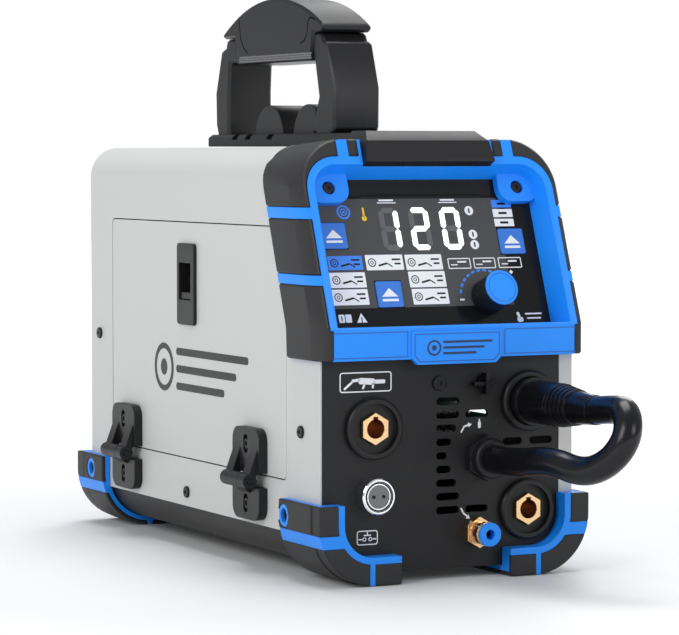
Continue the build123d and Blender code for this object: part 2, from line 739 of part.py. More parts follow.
def grip_space(gap):
    """Narrowed middle of the bar, so that the cover stands flush with the posts."""
    outline = [handle_point(y, z) for y, z in ((169 - gap, 340), (296 + gap, 340), (300 + gap, 380), (165 - gap, 380))]
    block = yz_prism(outline, -30, 30)
    core = box(-9 + gap, 9 - gap, FRONT + 100, FRONT + 340, 353 + gap, 364 - gap)
    return block - core


def make_grip_cover():
    """Arched cover over the bar, ending in lips over both posts."""
    arc = ThreePointArc(handle_point(150, 373), handle_point(233, 394.8), handle_point(320, 372))
    lines = [
        arc,
        Line(handle_point(320, 372), handle_point(319, 368.3)),
        Line(handle_point(319, 368.3), handle_point(299, 368.3)),
        Line(handle_point(299, 368.3), handle_point(296, 348.5)),
        Line(handle_point(296, 348.5), handle_point(170, 348.5)),
        Line(handle_point(170, 348.5), handle_point(166, 368.3)),
        Line(handle_point(166, 368.3), handle_point(151, 368.3)),
        Line(handle_point(151, 368.3), handle_point(150, 373)),
    ]
    cover = extrude(Plane.YZ.offset(-19.5) * make_face(lines), amount=39)
    return cover - box(-9, 9, FRONT + 100, FRONT + 340, 353, 364)


# ---------------------------------------------------------------- panel fittings


def make_socket_ring(x, z):
    ring = rod_y(x, z, SOCKET_R, FRONT - SOCKET_PROUD, FRONT - 0.05)
    ring = chamfer(ring.edges().group_by(Axis.Y)[0], 1.2)
    ring += rod_y(x, z, SOCKET_HOLE_R, FRONT - 0.1, FRONT + 16)
    ring -= rod_y(x, z, 16.5, FRONT - SOCKET_PROUD - 1, FRONT - SOCKET_PROUD + 2)
    return ring - hexagon_y(x, z, INSERT_AF + 0.1, FRONT - 10, FRONT + 20)


def make_insert(x, z):
    """Brass twist-lock insert with its key slot at the top."""
    insert = hexagon_y(x, z, INSERT_AF, FRONT - SOCKET_PROUD + 0.6, FRONT + 22)
    insert -= rod_y(x, z, INSERT_BORE_R, FRONT - 10, FRONT + 19)
    return insert - box(x - 1.6, x + 1.6, FRONT - 10, FRONT + 10, z, z + INSERT_BORE_R + 1.6)


def make_trigger_socket():
    x, z = TRIGGER_XZ
    shell = rod_y(x, z, 12.0, FRONT - 12, FRONT - 0.05)
    shell = chamfer(shell.edges().group_by(Axis.Y)[0], 0.8)
    shell += rod_y(x, z, 9.5, FRONT - 1, FRONT + 10)
    shell -= rod_y(x, z, 10.2, FRONT - 13, FRONT - 2)
    core = rod_y(x, z, 10.1, FRONT - 10.8, FRONT - 2)
    for dx in (-3.6, 3.6):
        core += rod_y(x + dx, z, 1.1, FRONT - 11.6, FRONT - 5)
    return shell, core


def make_gas_outlet():
    """Push-in hose fitting: brass body and its release collar."""
    x, z = GAS_XZ
    body = hexagon_y(x, z, 18.4, FRONT - 6, FRONT - 0.05)
    body += rod_y(x, z, 7.6, FRONT - 17, FRONT - 5.9)
    body += rod_y(x, z, 6.0, FRONT - 1, FRONT + 12)
    body -= rod_y(x, z, 4.9, FRONT - 18, FRONT - 12)
    body -= rod_y(x, z, 3.05, FRONT - 20, FRONT + 4)
    collar = rod_y(x, z, 8.0, FRONT - 20.6, FRONT - 18.2)
    collar = fillet(collar.edges().group_by(Axis.Y)[0], 0.6)
    collar += rod_y(x, z, 4.84, FRONT - 18.3, FRONT - 13.4)
    return body, collar - rod_y(x, z, 3.3, FRONT - 22, FRONT - 10)


def make_lead_gland():
    x, z = GLAND_XZ
    gland = hexagon_y(x, z, 27.0, FRONT - 6, FRONT - 0.05)
    gland += rod_y(x, z, 10.0, FRONT - 0.1, FRONT + 10)
    collar = rod_y(x, z, 13.2, FRONT - 14, FRONT - 5.9)
    gland += fillet(collar.edges().group_by(Axis.Y)[0], 2.0)
    return gland


# Route of the polarity lead, from the gland round to the plug's tail.
def lead_points():
    return [Vector(x, FRONT + y, z) for x, y, z in LEAD_ROUTE]


def corner_radii(points):
    """For each inner point, 0.45 of the shorter run over the tangent of half the turn."""
    radii = []
    for a, b, c in zip(points, points[1:], points[2:]):
        turn = (b - a).get_angle(c - b)
        run = min((b - a).length, (c - b).length)
        radii.append(0.45 * run / tan(radians(turn / 2)))
    return radii


def make_lead():
    points = lead_points()
    radii = corner_radii(points)
    path = FilletPolyline(*points, radius=radii)
    print("lead radii", [round(r, 1) for r in radii], "length", round(path.length, 1))
    section = Plane(origin=points[0], z_dir=points[1] - points[0]) * Circle(LEAD_R)
    tube = sweep(section, path=path)
    exact = 3.14159 * LEAD_R ** 2 * path.length
    print("lead volume ratio", round(tube.volume / exact, 4))
    return tube


def make_plug():
    """Twist-lock plug: brass pin, fluted body, ribbed tail."""
    x, z = POSITIVE_XZ
    face = FRONT - SOCKET_PROUD
    body = rod_y(x, z, 16.0, face - 6, face - 0.1)
    body += rod_y(x, z, 14.6, face - 40, face - 5)
    for k in range(5):
        y = face - 40 - 4.4 * k
        body += rod_y(x, z, 14.4 - 0.6 * k, y - 3.4, y + 0.1)
        body += rod_y(x, z, 13.2 - 0.6 * k, y - 4.5, y)
    end = FRONT - 89.9
    start = face - 62
    tail = loft([
        Plane.XZ.offset(-start) * Pos(x, z) * Circle(LEAD_R + 1.6),
        Plane.XZ.offset(-end) * Pos(x, z) * Circle(LEAD_R + 0.5),
    ])
    body += tail
    lead_dir = lead_points()[-2] - lead_points()[-1]
    cut = Plane(origin=lead_points()[-1], z_dir=lead_dir) * Cylinder(
        30, 30, align=(Align.CENTER, Align.CENTER, Align.MIN)
    )
    pin = rod_y(x, z, INSERT_BORE_R - 0.15, face - 1, FRONT + 14)
    return body - cut + pin


# ---------------------------------------------------------------- rear fittings


def make_fan():
    x, z = FAN_XZ
    y0, y1 = FAN_Y
    half = FAN_SIZE / 2
    frame = box(x - half, x + half, y0, y1, z - half, z + half)
    frame = fillet(frame.edges().filter_by(Axis.Y), 5)
    frame -= rod_y(x, z, 38.0, y0 - 1, y1 + 1)
    frame += rod_y(x, z, 14.0, y1 - 3, y1)
    for k in range(4):
        strut = Pos(x, 0, z) * Rot(0, 45 + 90 * k, 0) * box(12, 40, y1 - 3, y1, -1.5, 1.5)
        frame += strut & box(x - half, x + half, y0, y1, z - half, z + half)
    frame += rod_y(x, z, 2.0, y0 + 5, y1 - 2)
    hub = rod_y(x, z, 14.0, y0 + 4, y1 - 4)
    rotor = hub
    for k in range(7):
        blade = Rot(38, 0, 0) * Box(24, 20, 1.6)
        blade = Pos(24.4, (y0 + y1) / 2, 0) * blade
        blade = blade & rod_y(0, 0, 36.8, y0 + 4, y1 - 4)
        rotor += Pos(x, 0, z) * Rot(0, k * 360 / 7, 0) * blade
    rotor -= rod_y(x, z, 2.0 + RUNNING, y0, y1)
    return frame, rotor


def make_fan_guard():
    x, z = FAN_XZ
    y = REAR + 3.4
    plane = Plane(origin=(x, y, z), z_dir=(0, 1, 0))
    guard = Part()
    for radius in (10, 18, 26, 34, 40):
        guard += plane * Torus(radius, 1.1)
    for k in range(4):
        spoke = Pos(x, y - 1.6, z) * Rot(0, 45 + 90 * k, 0) * Pos(25, 0, 0) * Box(32, 1.8, 2.2)
        guard += spoke
        tip = Pos(x, 0, z) * Rot(0, 45 + 90 * k, 0) * rod_y(42.0, 0, 4.0, REAR + 0.1, REAR + 3.6)
        guard += tip
    return guard


def make_switch():
    """Rocker switch: housing in the rear panel and its rocker, tilted to off."""
    x, z = SWITCH_XZ
    pivot_y = REAR - 1.0
    housing = box(x - 16, x + 16, REAR + 0.05, REAR + 2, z - 13, z + 13)
    housing += box(x - 14.2, x + 14.2, REAR - 24, REAR + 0.1, z - 11.2, z + 11.2)
    housing -= box(x - 11.5, x + 11.5, REAR - 12, REAR + 5, z - 9.8, z + 9.8)
    outline = [(-6, -6.5), (-6, 6.5), (2.5, 8.8), (4.2, 8.0), (2.4, 0), (4.2, -8.0), (2.5, -8.8)]
    rocker = yz_prism([(pivot_y + y, z + dz) for y, dz in outline], x - 11.2, x + 11.2)
    rocker = Pos(0, pivot_y, z) * Rot(SWITCH_TILT, 0, 0) * Pos(0, -pivot_y, -z) * rocker
    return housing, rocker


def make_mains_gland():
    x, z = MAINS_XZ
    gland = hexagon_y(x, z, 24.0, REAR + 0.05, REAR + 6)
    gland += rod_y(x, z, 10.0, REAR - 10, REAR + 0.1)
    gland += rod_y(x, z, 10.5, REAR + 5.9, REAR + 16)
    return gland - rod_y(x, z, 4.5, REAR - 12, REAR + 20)


def make_gas_inlet():
    x, z = INLET_XZ
    inlet = hexagon_y(x, z, 14.0, REAR + 0.05, REAR + 5)
    inlet += rod_y(x, z, 5.0, REAR - 10, REAR + 0.1)
    inlet += rod_y(x, z, 4.0, REAR + 4.9, REAR + 22)
    return inlet - rod_y(x, z, 2.2, REAR - 12, REAR + 30)


# ---------------------------------------------------------------- power electronics


def make_heatsink():
    sink = box(12, 82, -95, 60, 42, 47)
    for k in range(12):
        x = 12 + k * 6.18
        sink += box(x, x + 2.0, -95, 60, 22, 42.1)
    return sink


def make_inverter_board():
    """Board with its reservoir capacitors, choke and transformer blocks, on four pillars."""
    board = box(8, 88, -98, 75, 60, 61.6)
    for x in (28, 66):
        board += rod_z(x, -78, 15.0, 61.5, 106)
    board += box(14, 40, -20, 20, 61.5, 84)
    board += box(50, 84, -30, 30, 61.5, 90)
    for y in (-88, 50):
        for x in (20, 74):
            board += rod_z(x, y, 3.0, 47.1, 60.1)
    return board


def make_transformer():
    core = box(16, 80, 86, 140, 22, 72) - box(27, 40, 80, 150, 34, 60) - box(56, 69, 80, 150, 34, 60)
    winding = box(27.5, 68.5, 76, 150, 35, 59) - box(39.5, 56.5, 70, 160, 10, 80)
    return core + winding


# ---------------------------------------------------------------- wire feeder




def make_feeder_plate():
    x0, x1 = PLATE_X
    plate = box(x0, x1, -168, -74, 55, 120)
    for y in (-160, -82):
        for z in (62, 112):
            plate += rod_x(y, z, 4.5, x1 - 0.1, -0.1)
    plate -= rod_x(ROLL_Y, DRIVE_Z, 7.0, x0 - 1, x1 + 1)
    plate += rod_x(PIVOT_Y, PRESS_Z, SHAFT_R, x0 - 8, x0 + 0.1)
    fork = box(-64, x0 + 0.1, -100, -78, 91, 98.5) - box(-53.2, -45.8, -95, -70, 85, 105)
    plate += fork
    for y in (-105.6, -140):
        bracket = box(WIRE_X - 5, x0 + 0.1, y, y + 4, 95, 106)
        plate += bracket - rod_y(WIRE_X, WIRE_Z, 2.55, y - 1, y + 5)
    return plate


def make_wire_guides():
    inlet = rod_y(WIRE_X, WIRE_Z, 2.5, -106.5, -74) - rod_y(WIRE_X, WIRE_Z, 0.8, -110, -70)
    outlet = rod_y(WIRE_X, WIRE_Z, 2.5, -176.5, -133.5) - rod_y(WIRE_X, WIRE_Z, 0.8, -180, -130)
    return inlet + outlet


def make_feeder_motor():
    gearbox = rod_x(ROLL_Y, DRIVE_Z, 18.0, PLATE_X[1] + 0.1, -12)
    can = rod_x(ROLL_Y, DRIVE_Z, 17.0, -12.1, 46)
    boss = rod_x(ROLL_Y, DRIVE_Z, 6.8, PLATE_X[0] + 0.2, PLATE_X[1] + 0.2)
    motor = gearbox + can + boss
    return motor - rod_x(ROLL_Y, DRIVE_Z, SHAFT_R + RUNNING, PLATE_X[0] - 1, -20)


def grooved_roll(y, z, radius, bore):
    x0, x1 = ROLL_X
    roll = rod_x(y, z, radius, x0, x1)
    roll = chamfer(roll.edges(), 0.8)
    plane = Plane(origin=(WIRE_X, y, z), z_dir=(1, 0, 0))
    roll -= plane * Torus(radius + 0.15, 0.5)
    return roll - rod_x(y, z, bore, x0 - 1, x1 + 1)


def make_drive_roll():
    roll = grooved_roll(ROLL_Y, DRIVE_Z, DRIVE_R, SHAFT_R + 0.02)
    shaft = rod_x(ROLL_Y, DRIVE_Z, SHAFT_R, ROLL_X[0] - 3, -22)
    return roll + shaft


def make_pressure_arm():
    x0, x1 = -50.0, -45.5
    arm = rod_x(PIVOT_Y, PRESS_Z, 7.0, x0, x1) + box(x0, x1, PIVOT_Y, -80, PRESS_Z - 6, PRESS_Z + 7)
    arm += rod_x(ROLL_Y, PRESS_Z, SHAFT_R, ROLL_X[0] - 1.6, x0 + 0.1)
    arm += rod_x(ROLL_Y, PRESS_Z, 6.0, ROLL_X[0] - 1.6, ROLL_X[0] - 0.3)
    arm += box(-62, x1, -93, -79, PRESS_Z - 5, PRESS_Z + 7)
    arm -= rod_x(PIVOT_Y, PRESS_Z, SHAFT_R + RUNNING, x0 - 1, x1 + 1)
    return arm - rod_z(*BOLT_XY, 3.0 + RUNNING, PRESS_Z - 10, PRESS_Z + 10)


def make_pressure_roll():
    return grooved_roll(ROLL_Y, PRESS_Z, PRESS_R, SHAFT_R + RUNNING)


def make_tension_knob():
    x, y = BOLT_XY
    z = PRESS_Z + 7.3
    knob = rod_z(x, y, 9.0, z, z + 22)
    for k in range(8):
        notch = Pos(x, y, 0) * Rot(0, 0, 45 * k) * rod_z(10.0, 0, 2.0, z - 1, z + 30)
        knob -= notch
    knob = knob + rod_z(x, y, 9.6, z, z + 3)
    return knob + rod_z(x, y, 3.0, 86, z + 1)


def make_spool_hub():
    y, z = SPOOL_YZ
    hub = rod_x(y, z, 20.0, -4, -0.1)
    hub += rod_x(y, z, 13.0, SPOOL_X[1] + 0.5, -3.9)
    return hub + rod_x(y, z, HUB_R, SPOOL_X[0] - 7, -3)


def make_spool():
    y, z = SPOOL_YZ
    x0, x1 = SPOOL_X
    spool = rod_x(y, z, SPOOL_R, x0, x0 + 2.5) + rod_x(y, z, SPOOL_R, x1 - 2.5, x1)
    spool += rod_x(y, z, 28.0, x0, x1)
    spool -= rod_x(y, z, 25.5, x0 + 2.5, x1 - 2.5)
    spool += rod_x(y, z, 11.0, x0, x1)
    for k in range(4):
        a = radians(45 + 90 * k)
        for x in (x0 - 1, x1 - 4):
            spool -= rod_x(y + 18.2 * cos(a), z + 18.2 * sin(a), 5.0, x, x + 5)
    spool -= rod_x(y, z, HUB_R + RUNNING, x0 - 1, x1 + 1)
    wire = rod_x(y, z, 43.5, x0 + 2.6, x1 - 2.6) - rod_x(y, z, 28.1, x0, x1)
    return spool, wire


def make_spool_nut():
    y, z = SPOOL_YZ
    x = SPOOL_X[0] - 0.6
    nut = rod_x(y, z, 14.0, x - 6.5, x)
    for k in range(6):
        a = radians(60 * k)
        nut -= rod_x(y + 16.0 * cos(a), z + 16.0 * sin(a), 3.2, x - 8, x + 1)
    return nut - rod_x(y, z, HUB_R + 0.03, x - 8, x + 1)


# ---------------------------------------------------------------- write the parts


def main():
    keep("base_tray", make_base_tray())
    keep("front_panel", make_front_panel())
    keep("rear_panel", make_rear_panel())
    keep("main_cover", make_main_cover())
    keep("divider_plate", make_divider())
    keep("door_panel", make_door())
    keep("latch_housing", make_latch_housing())
    keep("latch_slider", make_latch_slider())
    keep("hinge_door_leaves", hinge_leaf(HINGE_YS[0], True) + hinge_leaf(HINGE_YS[1], True))
    keep("hinge_case_leaves", hinge_leaf(HINGE_YS[0], False) + hinge_leaf(HINGE_YS[1], False))
    keep("hinge_pins", make_hinge_pins())
    frame, pads = make_hood()
    keep("hood_frame", frame)
    keep("hood_pads", pads)
    keep("hood_top_bar", make_top_bar())
    bezel, board, keys = make_display()
    keep("display_bezel", bezel)
    keep("display_board", board)
    for name, key in keys.items():
        keep(name, key)
    encoder, shaft, body, cap = make_knob()
    keep("encoder", encoder)
    keep("encoder_shaft", shaft)
    keep("knob_body", body)
    keep("knob_cap", cap)
    front, rear, foot_pads = make_feet()
    keep("front_bumpers", front)
    keep("rear_bumpers", rear)
    keep("bumper_pads", foot_pads)
    keep("case_screws", make_screws())
    keep("handle_base", make_handle_base())
    keep("handle_frame", make_handle_frame())
    keep("handle_grip_cover", make_grip_cover())
    sockets = (GUN_XZ, POSITIVE_XZ, NEGATIVE_XZ)
    keep("panel_sockets", Part() + [make_socket_ring(*xz) for xz in sockets])
    keep("socket_inserts", Part() + [make_insert(*xz) for xz in sockets])
    shell, core = make_trigger_socket()
    keep("trigger_socket", shell)
    keep("trigger_insulator", core)
    fitting, collar = make_gas_outlet()
    keep("gas_outlet", fitting)
    keep("gas_collar", collar)
    keep("lead_gland", make_lead_gland())
    keep("polarity_lead", make_lead())
    keep("lead_plug", make_plug())
    fan_frame, rotor = make_fan()
    keep("fan_housing", fan_frame)
    keep("fan_rotor", rotor)
    keep("fan_guard", make_fan_guard())
    housing, rocker = make_switch()
    keep("power_switch", housing)
    keep("switch_rocker", rocker)
    keep("mains_gland", make_mains_gland())
    keep("rear_gas_inlet", make_gas_inlet())
    keep("heatsink", make_heatsink())
    keep("inverter_board", make_inverter_board())
    keep("transformer", make_transformer())
    keep("feeder_plate", make_feeder_plate())
    keep("wire_guides", make_wire_guides())
    keep("feeder_motor", make_feeder_motor())
    keep("drive_roll", make_drive_roll())
    keep("pressure_arm", make_pressure_arm())
    keep("pressure_roll", make_pressure_roll())
    keep("tension_knob", make_tension_knob())
    keep("spool_hub", make_spool_hub())
    spool, wire = make_spool()
    keep("wire_spool", spool)
    keep("spool_wire", wire)
    keep("spool_nut", make_spool_nut())


main()
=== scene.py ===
"""Portable wire-feed welding machine: its looks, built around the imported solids."""

import json
from math import atan2, cos, degrees, hypot, pi, radians, sin

import bmesh
import bpy
from mathutils import Matrix, Vector

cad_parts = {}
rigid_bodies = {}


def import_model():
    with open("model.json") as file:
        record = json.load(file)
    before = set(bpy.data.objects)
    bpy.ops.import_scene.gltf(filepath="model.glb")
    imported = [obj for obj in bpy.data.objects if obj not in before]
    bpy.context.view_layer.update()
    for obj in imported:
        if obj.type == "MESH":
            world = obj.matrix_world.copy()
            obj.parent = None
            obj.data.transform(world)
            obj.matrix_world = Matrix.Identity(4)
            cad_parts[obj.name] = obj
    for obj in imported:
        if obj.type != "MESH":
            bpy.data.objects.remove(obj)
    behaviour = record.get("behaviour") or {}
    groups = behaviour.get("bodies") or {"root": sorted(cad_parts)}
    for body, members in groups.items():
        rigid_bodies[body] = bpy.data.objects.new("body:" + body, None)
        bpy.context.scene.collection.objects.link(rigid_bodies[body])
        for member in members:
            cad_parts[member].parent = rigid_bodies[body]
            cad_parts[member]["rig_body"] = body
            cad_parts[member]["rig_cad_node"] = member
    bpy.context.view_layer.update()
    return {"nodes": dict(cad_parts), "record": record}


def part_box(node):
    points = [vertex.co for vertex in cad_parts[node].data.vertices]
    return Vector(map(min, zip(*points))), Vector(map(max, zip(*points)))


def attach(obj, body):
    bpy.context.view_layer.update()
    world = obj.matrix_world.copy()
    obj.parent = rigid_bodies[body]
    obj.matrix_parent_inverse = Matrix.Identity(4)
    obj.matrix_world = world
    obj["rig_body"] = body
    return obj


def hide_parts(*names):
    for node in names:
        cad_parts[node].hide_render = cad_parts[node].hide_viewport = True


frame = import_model()

bl_info = {
    "name": "Wire-feed welding machine",
    "version": (1, 0, 0),
    "blender": (4, 5, 0),
    "location": "View3D > Sidebar > Welder",
    "description": "Builds a portable wire-feed welding machine piece by piece",
    "category": "Add Mesh",
}

MM = 0.001
NODES = frame["nodes"]

# ---- places taken from the solids

PANEL_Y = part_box("front_panel")[0].y
DOOR_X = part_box("door_panel")[0].x
HOOD_LEAN = radians(20.5)
LENS_THICKNESS = 3.0 * MM
LENS_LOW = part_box("display_bezel")[0]
LENS_BELOW_LIP = 0.4 * MM

ALONG_HOOD = Vector((0, sin(HOOD_LEAN), cos(HOOD_LEAN)))
OUT_OF_HOOD = Vector((0, -cos(HOOD_LEAN), sin(HOOD_LEAN)))
LENS_CORNER = Vector((0, LENS_LOW.y, LENS_LOW.z + LENS_THICKNESS * sin(HOOD_LEAN)))
LENS_ORIGIN = LENS_CORNER + ALONG_HOOD * LENS_BELOW_LIP


def facing(origin, across, up):
    """Matrix of a flat face: its own X runs across, Y runs up and Z points out of it."""
    out = across.cross(up)
    return Matrix((across, up, out)).transposed().to_4x4() + Matrix.Translation(origin) - Matrix.Identity(4)


ACROSS = Vector((1, 0, 0))
TO_FRONT = Vector((0, -1, 0))
UP = Vector((0, 0, 1))
PLATE_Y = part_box("hood_frame")[0].y
BAND_BEHIND_PLATE = 1.2 * MM
TRIGGER_LOW, TRIGGER_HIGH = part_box("trigger_insulator")
TRIGGER = (TRIGGER_LOW + TRIGGER_HIGH) / 2
TRIGGER_FACE_DEPTH = 0.8 * MM
GAS_X, GAS_Z = 20.9, 30.5
GAS_FACE_PROUD = 6.0 * MM
GRIP_LOW, GRIP_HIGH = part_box("handle_grip_cover")

# faces that marks are drawn on, each with the slot of the solid that it belongs to
FACES = {
    "lens": (facing(LENS_ORIGIN, ACROSS, ALONG_HOOD), "display_gloss"),
    "panel": (facing(Vector((0, PANEL_Y, 0)), ACROSS, UP), "panel_plastic"),
    "band": (facing(Vector((0, PLATE_Y + BAND_BEHIND_PLATE, 0)), ACROSS, UP), "blue_plastic"),
    "plate": (facing(Vector((0, PLATE_Y, 0)), ACROSS, UP), "blue_plastic"),
    "door": (facing(Vector((DOOR_X, 0, 0)), TO_FRONT, UP), "cover_paint"),
    "trigger": (facing(Vector((TRIGGER.x, TRIGGER_LOW.y + TRIGGER_FACE_DEPTH, TRIGGER.z)), ACROSS, UP),
                "chrome"),
    "gas": (facing(Vector((GAS_X * MM, PANEL_Y - GAS_FACE_PROUD, GAS_Z * MM)), ACROSS, UP), "brass"),
    "grip_left": (facing(Vector((GRIP_LOW.x, 0, 0)), TO_FRONT, UP), "black_plastic"),
    "grip_right": (facing(Vector((GRIP_HIGH.x, 0, 0)), -TO_FRONT, UP), "black_plastic"),
}

# axes of bores and pins that run front to back: x, z and radius in millimetres
INSERT_BORES = ((-56.5, 102.6, 8.4), (59.0, 44.0, 8.4), (60.3, 117.0, 8.4))
GAS_BORE = ((GAS_X, GAS_Z, 5.4),)
TRIGGER_PINS = ((-61.3, 58.7, 1.3), (-54.1, 58.7, 1.3))

# depth of the floor behind the front of a socket's collar, and how much deeper it is sunk
COLLAR_FLOOR_DEPTH = 2.0 * MM
COLLAR_SINK = 2.4 * MM
COLLAR_FLOOR_SPREAD = 0.6 * MM

# hinges: length of a pin, floor of the screw pockets, height and size of the screws
HINGE_PIN_LENGTH = 40.0 * MM
HINGE_LEAF_PROUD = 6.5 * MM
HINGE_POCKET_DEPTH = 2.4 * MM
HINGE_POCKET_X = DOOR_X - HINGE_LEAF_PROUD + HINGE_POCKET_DEPTH
DOOR_SCREW_Z = 86.0 * MM
CASE_SCREW_Z = 45.4 * MM
SCREW_HEAD_HEIGHT = 2.0 * MM
SCREW_RECESS = 1.1 * MM

# grip, in millimetres: studs of the non-slip strips, and seams as points along and up
KNURL_START = -31.0
KNURL_PITCH = 2.0
KNURL_COUNT = 61
KNURL_ROWS = 3
KNURL_ROW_STEP = 1.6
KNURL_Z = 350.4
KNURL_STUD = 1.3
KNURL_PROUD = 0.4
SEAM_WIDTH = 0.9
GRIP_SEAMS = (
    ((91.5, 383.0), (90.0, 374.0), (88.4, 367.0), (83.5, 361.0), (76.7, 356.8)),
    ((-37.0, 377.0), (-29.5, 379.2), (-25.6, 376.5), (-23.8, 367.0), (-19.5, 363.0), (-12.7, 361.1)),
)

# knob and keys: cap's face and keys' faces over the display plate in millimetres, ribbed body in metres
KNOB_FACE = 22.5
KEY_PROUD = 0.8
KNOB_SIDES = 144
KNOB_SIDES_PER_RIB = 4
KNOB_RADIUS = 12.1 * MM
KNOB_LENGTH = 19.7 * MM
KNOB_GROOVE = 0.972

# the lead's way from its gland to its plug, in millimetres, with Y measured from the front panel
LEAD_POINTS = (
    (27.0, -14.0, 80.0), (27.0, -45.0, 80.0), (30.5, -81.0, 85.5),
    (38.5, -110.0, 78.5), (45.0, -132.0, 87.5), (52.0, -141.5, 104.0),
    (57.5, -131.5, 119.5), (60.3, -111.0, 119.5), (60.3, -90.0, 117.0),
)


# ---- settings a user may change


class WelderSizes(bpy.types.PropertyGroup):
    """Sizes of the pieces and of the stage."""

    print_height: bpy.props.FloatProperty(
        name="Print height", description="How far printed marks stand off their surface",
        default=0.06 * MM, min=0.0, unit="LENGTH")
    lead_diameter: bpy.props.FloatProperty(
        name="Lead diameter", description="Outside diameter of the polarity lead",
        default=18.6 * MM, min=0.0, unit="LENGTH")
    screw_diameter: bpy.props.FloatProperty(
        name="Hinge screw diameter", description="Head diameter of the hinge screws",
        default=7.2 * MM, min=0.0, unit="LENGTH")
    floor_size: bpy.props.FloatProperty(
        name="Floor size", description="Side of the studio floor",
        default=14.0, min=1.0, unit="LENGTH")
    lens_length: bpy.props.FloatProperty(
        name="Focal length", description="Focal length of the camera in millimetres",
        default=160.64, min=10.0)


class WelderColours(bpy.types.PropertyGroup):
    """Colours of the finishes."""

    cover: bpy.props.FloatVectorProperty(
        name="Cover paint", description="Powder coat of the sheet-metal cover and door",
        subtype="COLOR", size=3, default=(0.525, 0.535, 0.525), min=0, max=1)
    accent: bpy.props.FloatVectorProperty(
        name="Accent plastic", description="Plastic of the hood, bumpers, knob and collar",
        subtype="COLOR", size=3, default=(0.009, 0.255, 0.92), min=0, max=1)
    dark: bpy.props.FloatVectorProperty(
        name="Dark plastic", description="Plastic of the front panel, handle and fittings",
        subtype="COLOR", size=3, default=(0.008, 0.008, 0.009), min=0, max=1)
    pad: bpy.props.FloatVectorProperty(
        name="Pad rubber", description="Rubber of the pads in the hood and bumpers",
        subtype="COLOR", size=3, default=(0.021, 0.021, 0.022), min=0, max=1)
    display: bpy.props.FloatVectorProperty(
        name="Display plate", description="Gloss plate that the display shows through",
        subtype="COLOR", size=3, default=(0.007, 0.007, 0.008), min=0, max=1)
    marks: bpy.props.FloatVectorProperty(
        name="White print", description="White of the printed marks",
        subtype="COLOR", size=3, default=(0.80, 0.82, 0.84), min=0, max=1)
    lead: bpy.props.FloatVectorProperty(
        name="Lead rubber", description="Rubber of the polarity lead and its plug",
        subtype="COLOR", size=3, default=(0.004, 0.004, 0.005), min=0, max=1)


# ---- shader node groups


FLOAT, VECTOR, COLOUR = "NodeSocketFloat", "NodeSocketVector", "NodeSocketColor"
KIND_BY_LENGTH = {3: VECTOR, 4: COLOUR}


def start_group(name, inputs, outputs):
    """New shader node group with its inputs and outputs; returns its tree and two end nodes."""
    group = bpy.data.node_groups.new(name, "ShaderNodeTree")
    for label, value in inputs.items():
        kind = FLOAT if isinstance(value, float) else KIND_BY_LENGTH[len(value)]
        group.interface.new_socket(name=label, in_out="INPUT", socket_type=kind).default_value = value
    for label, kind in outputs.items():
        group.interface.new_socket(name=label, in_out="OUTPUT", socket_type=kind)
    return group, group.nodes.new("NodeGroupInput"), group.nodes.new("NodeGroupOutput")


def feed(tree, slot, value):
    """Gives a node's input a number or links a socket to it."""
    if isinstance(value, (int, float)):
        slot.default_value = value
    else:
        tree.links.new(value, slot)


def math_node(tree, kind, *values):
    """Math node fed by sockets or numbers."""
    node = tree.nodes.new("ShaderNodeMath")
    node.operation = kind
    for slot, value in zip(node.inputs, values):
        feed(tree, slot, value)
    return node.outputs[0]


def noise(tree, vector, scale, detail):
    """Noise over a vector socket; scale is a socket or a number."""
    node = tree.nodes.new("ShaderNodeTexNoise")
    node.inputs["Detail"].default_value = detail
    tree.links.new(vector, node.inputs["Vector"])
    feed(tree, node.inputs["Scale"], scale)
    return node.outputs["Fac"]


def swing(tree, mask, spread, middle):
    """Value that moves about its middle as a mask moves about a half."""
    return math_node(tree, "MULTIPLY_ADD", math_node(tree, "SUBTRACT", mask, 0.5), spread, middle)


def shade(tree, colour, mask, spread):
    """Colour made lighter and darker by a mask around its middle."""
    node = tree.nodes.new("ShaderNodeHueSaturation")
    tree.links.new(swing(tree, mask, spread, 1.0), node.inputs["Value"])
    tree.links.new(colour, node.inputs["Color"])
    return node.outputs[0]


def rounded_bump(tree, height, depth, radius):
    """Normal with soft edges of a given radius and a fine height pattern on top."""
    edge = tree.nodes.new("ShaderNodeBevel")
    edge.samples = 4
    tree.links.new(radius, edge.inputs["Radius"])
    bump = tree.nodes.new("ShaderNodeBump")
    tree.links.new(height, bump.inputs["Height"])
    tree.links.new(depth, bump.inputs["Distance"])
    tree.links.new(edge.outputs[0], bump.inputs["Normal"])
    return bump.outputs[0]


SURFACE_OUTPUTS = {"Colour": COLOUR, "Roughness": FLOAT, "Normal": VECTOR}
CLOUD_SCALE = 14.0
BRUSHED_ROUGHNESS_SPREAD = 0.2
WIRE_WANDER_SCALE = 90.0
WIRE_WANDER = 1.6


def give_surface(tree, out, colour, roughness, normal):
    """Links a texture group's three results to its output node."""
    for name, value in (("Colour", colour), ("Roughness", roughness), ("Normal", normal)):
        tree.links.new(value, out.inputs[name])
    return tree


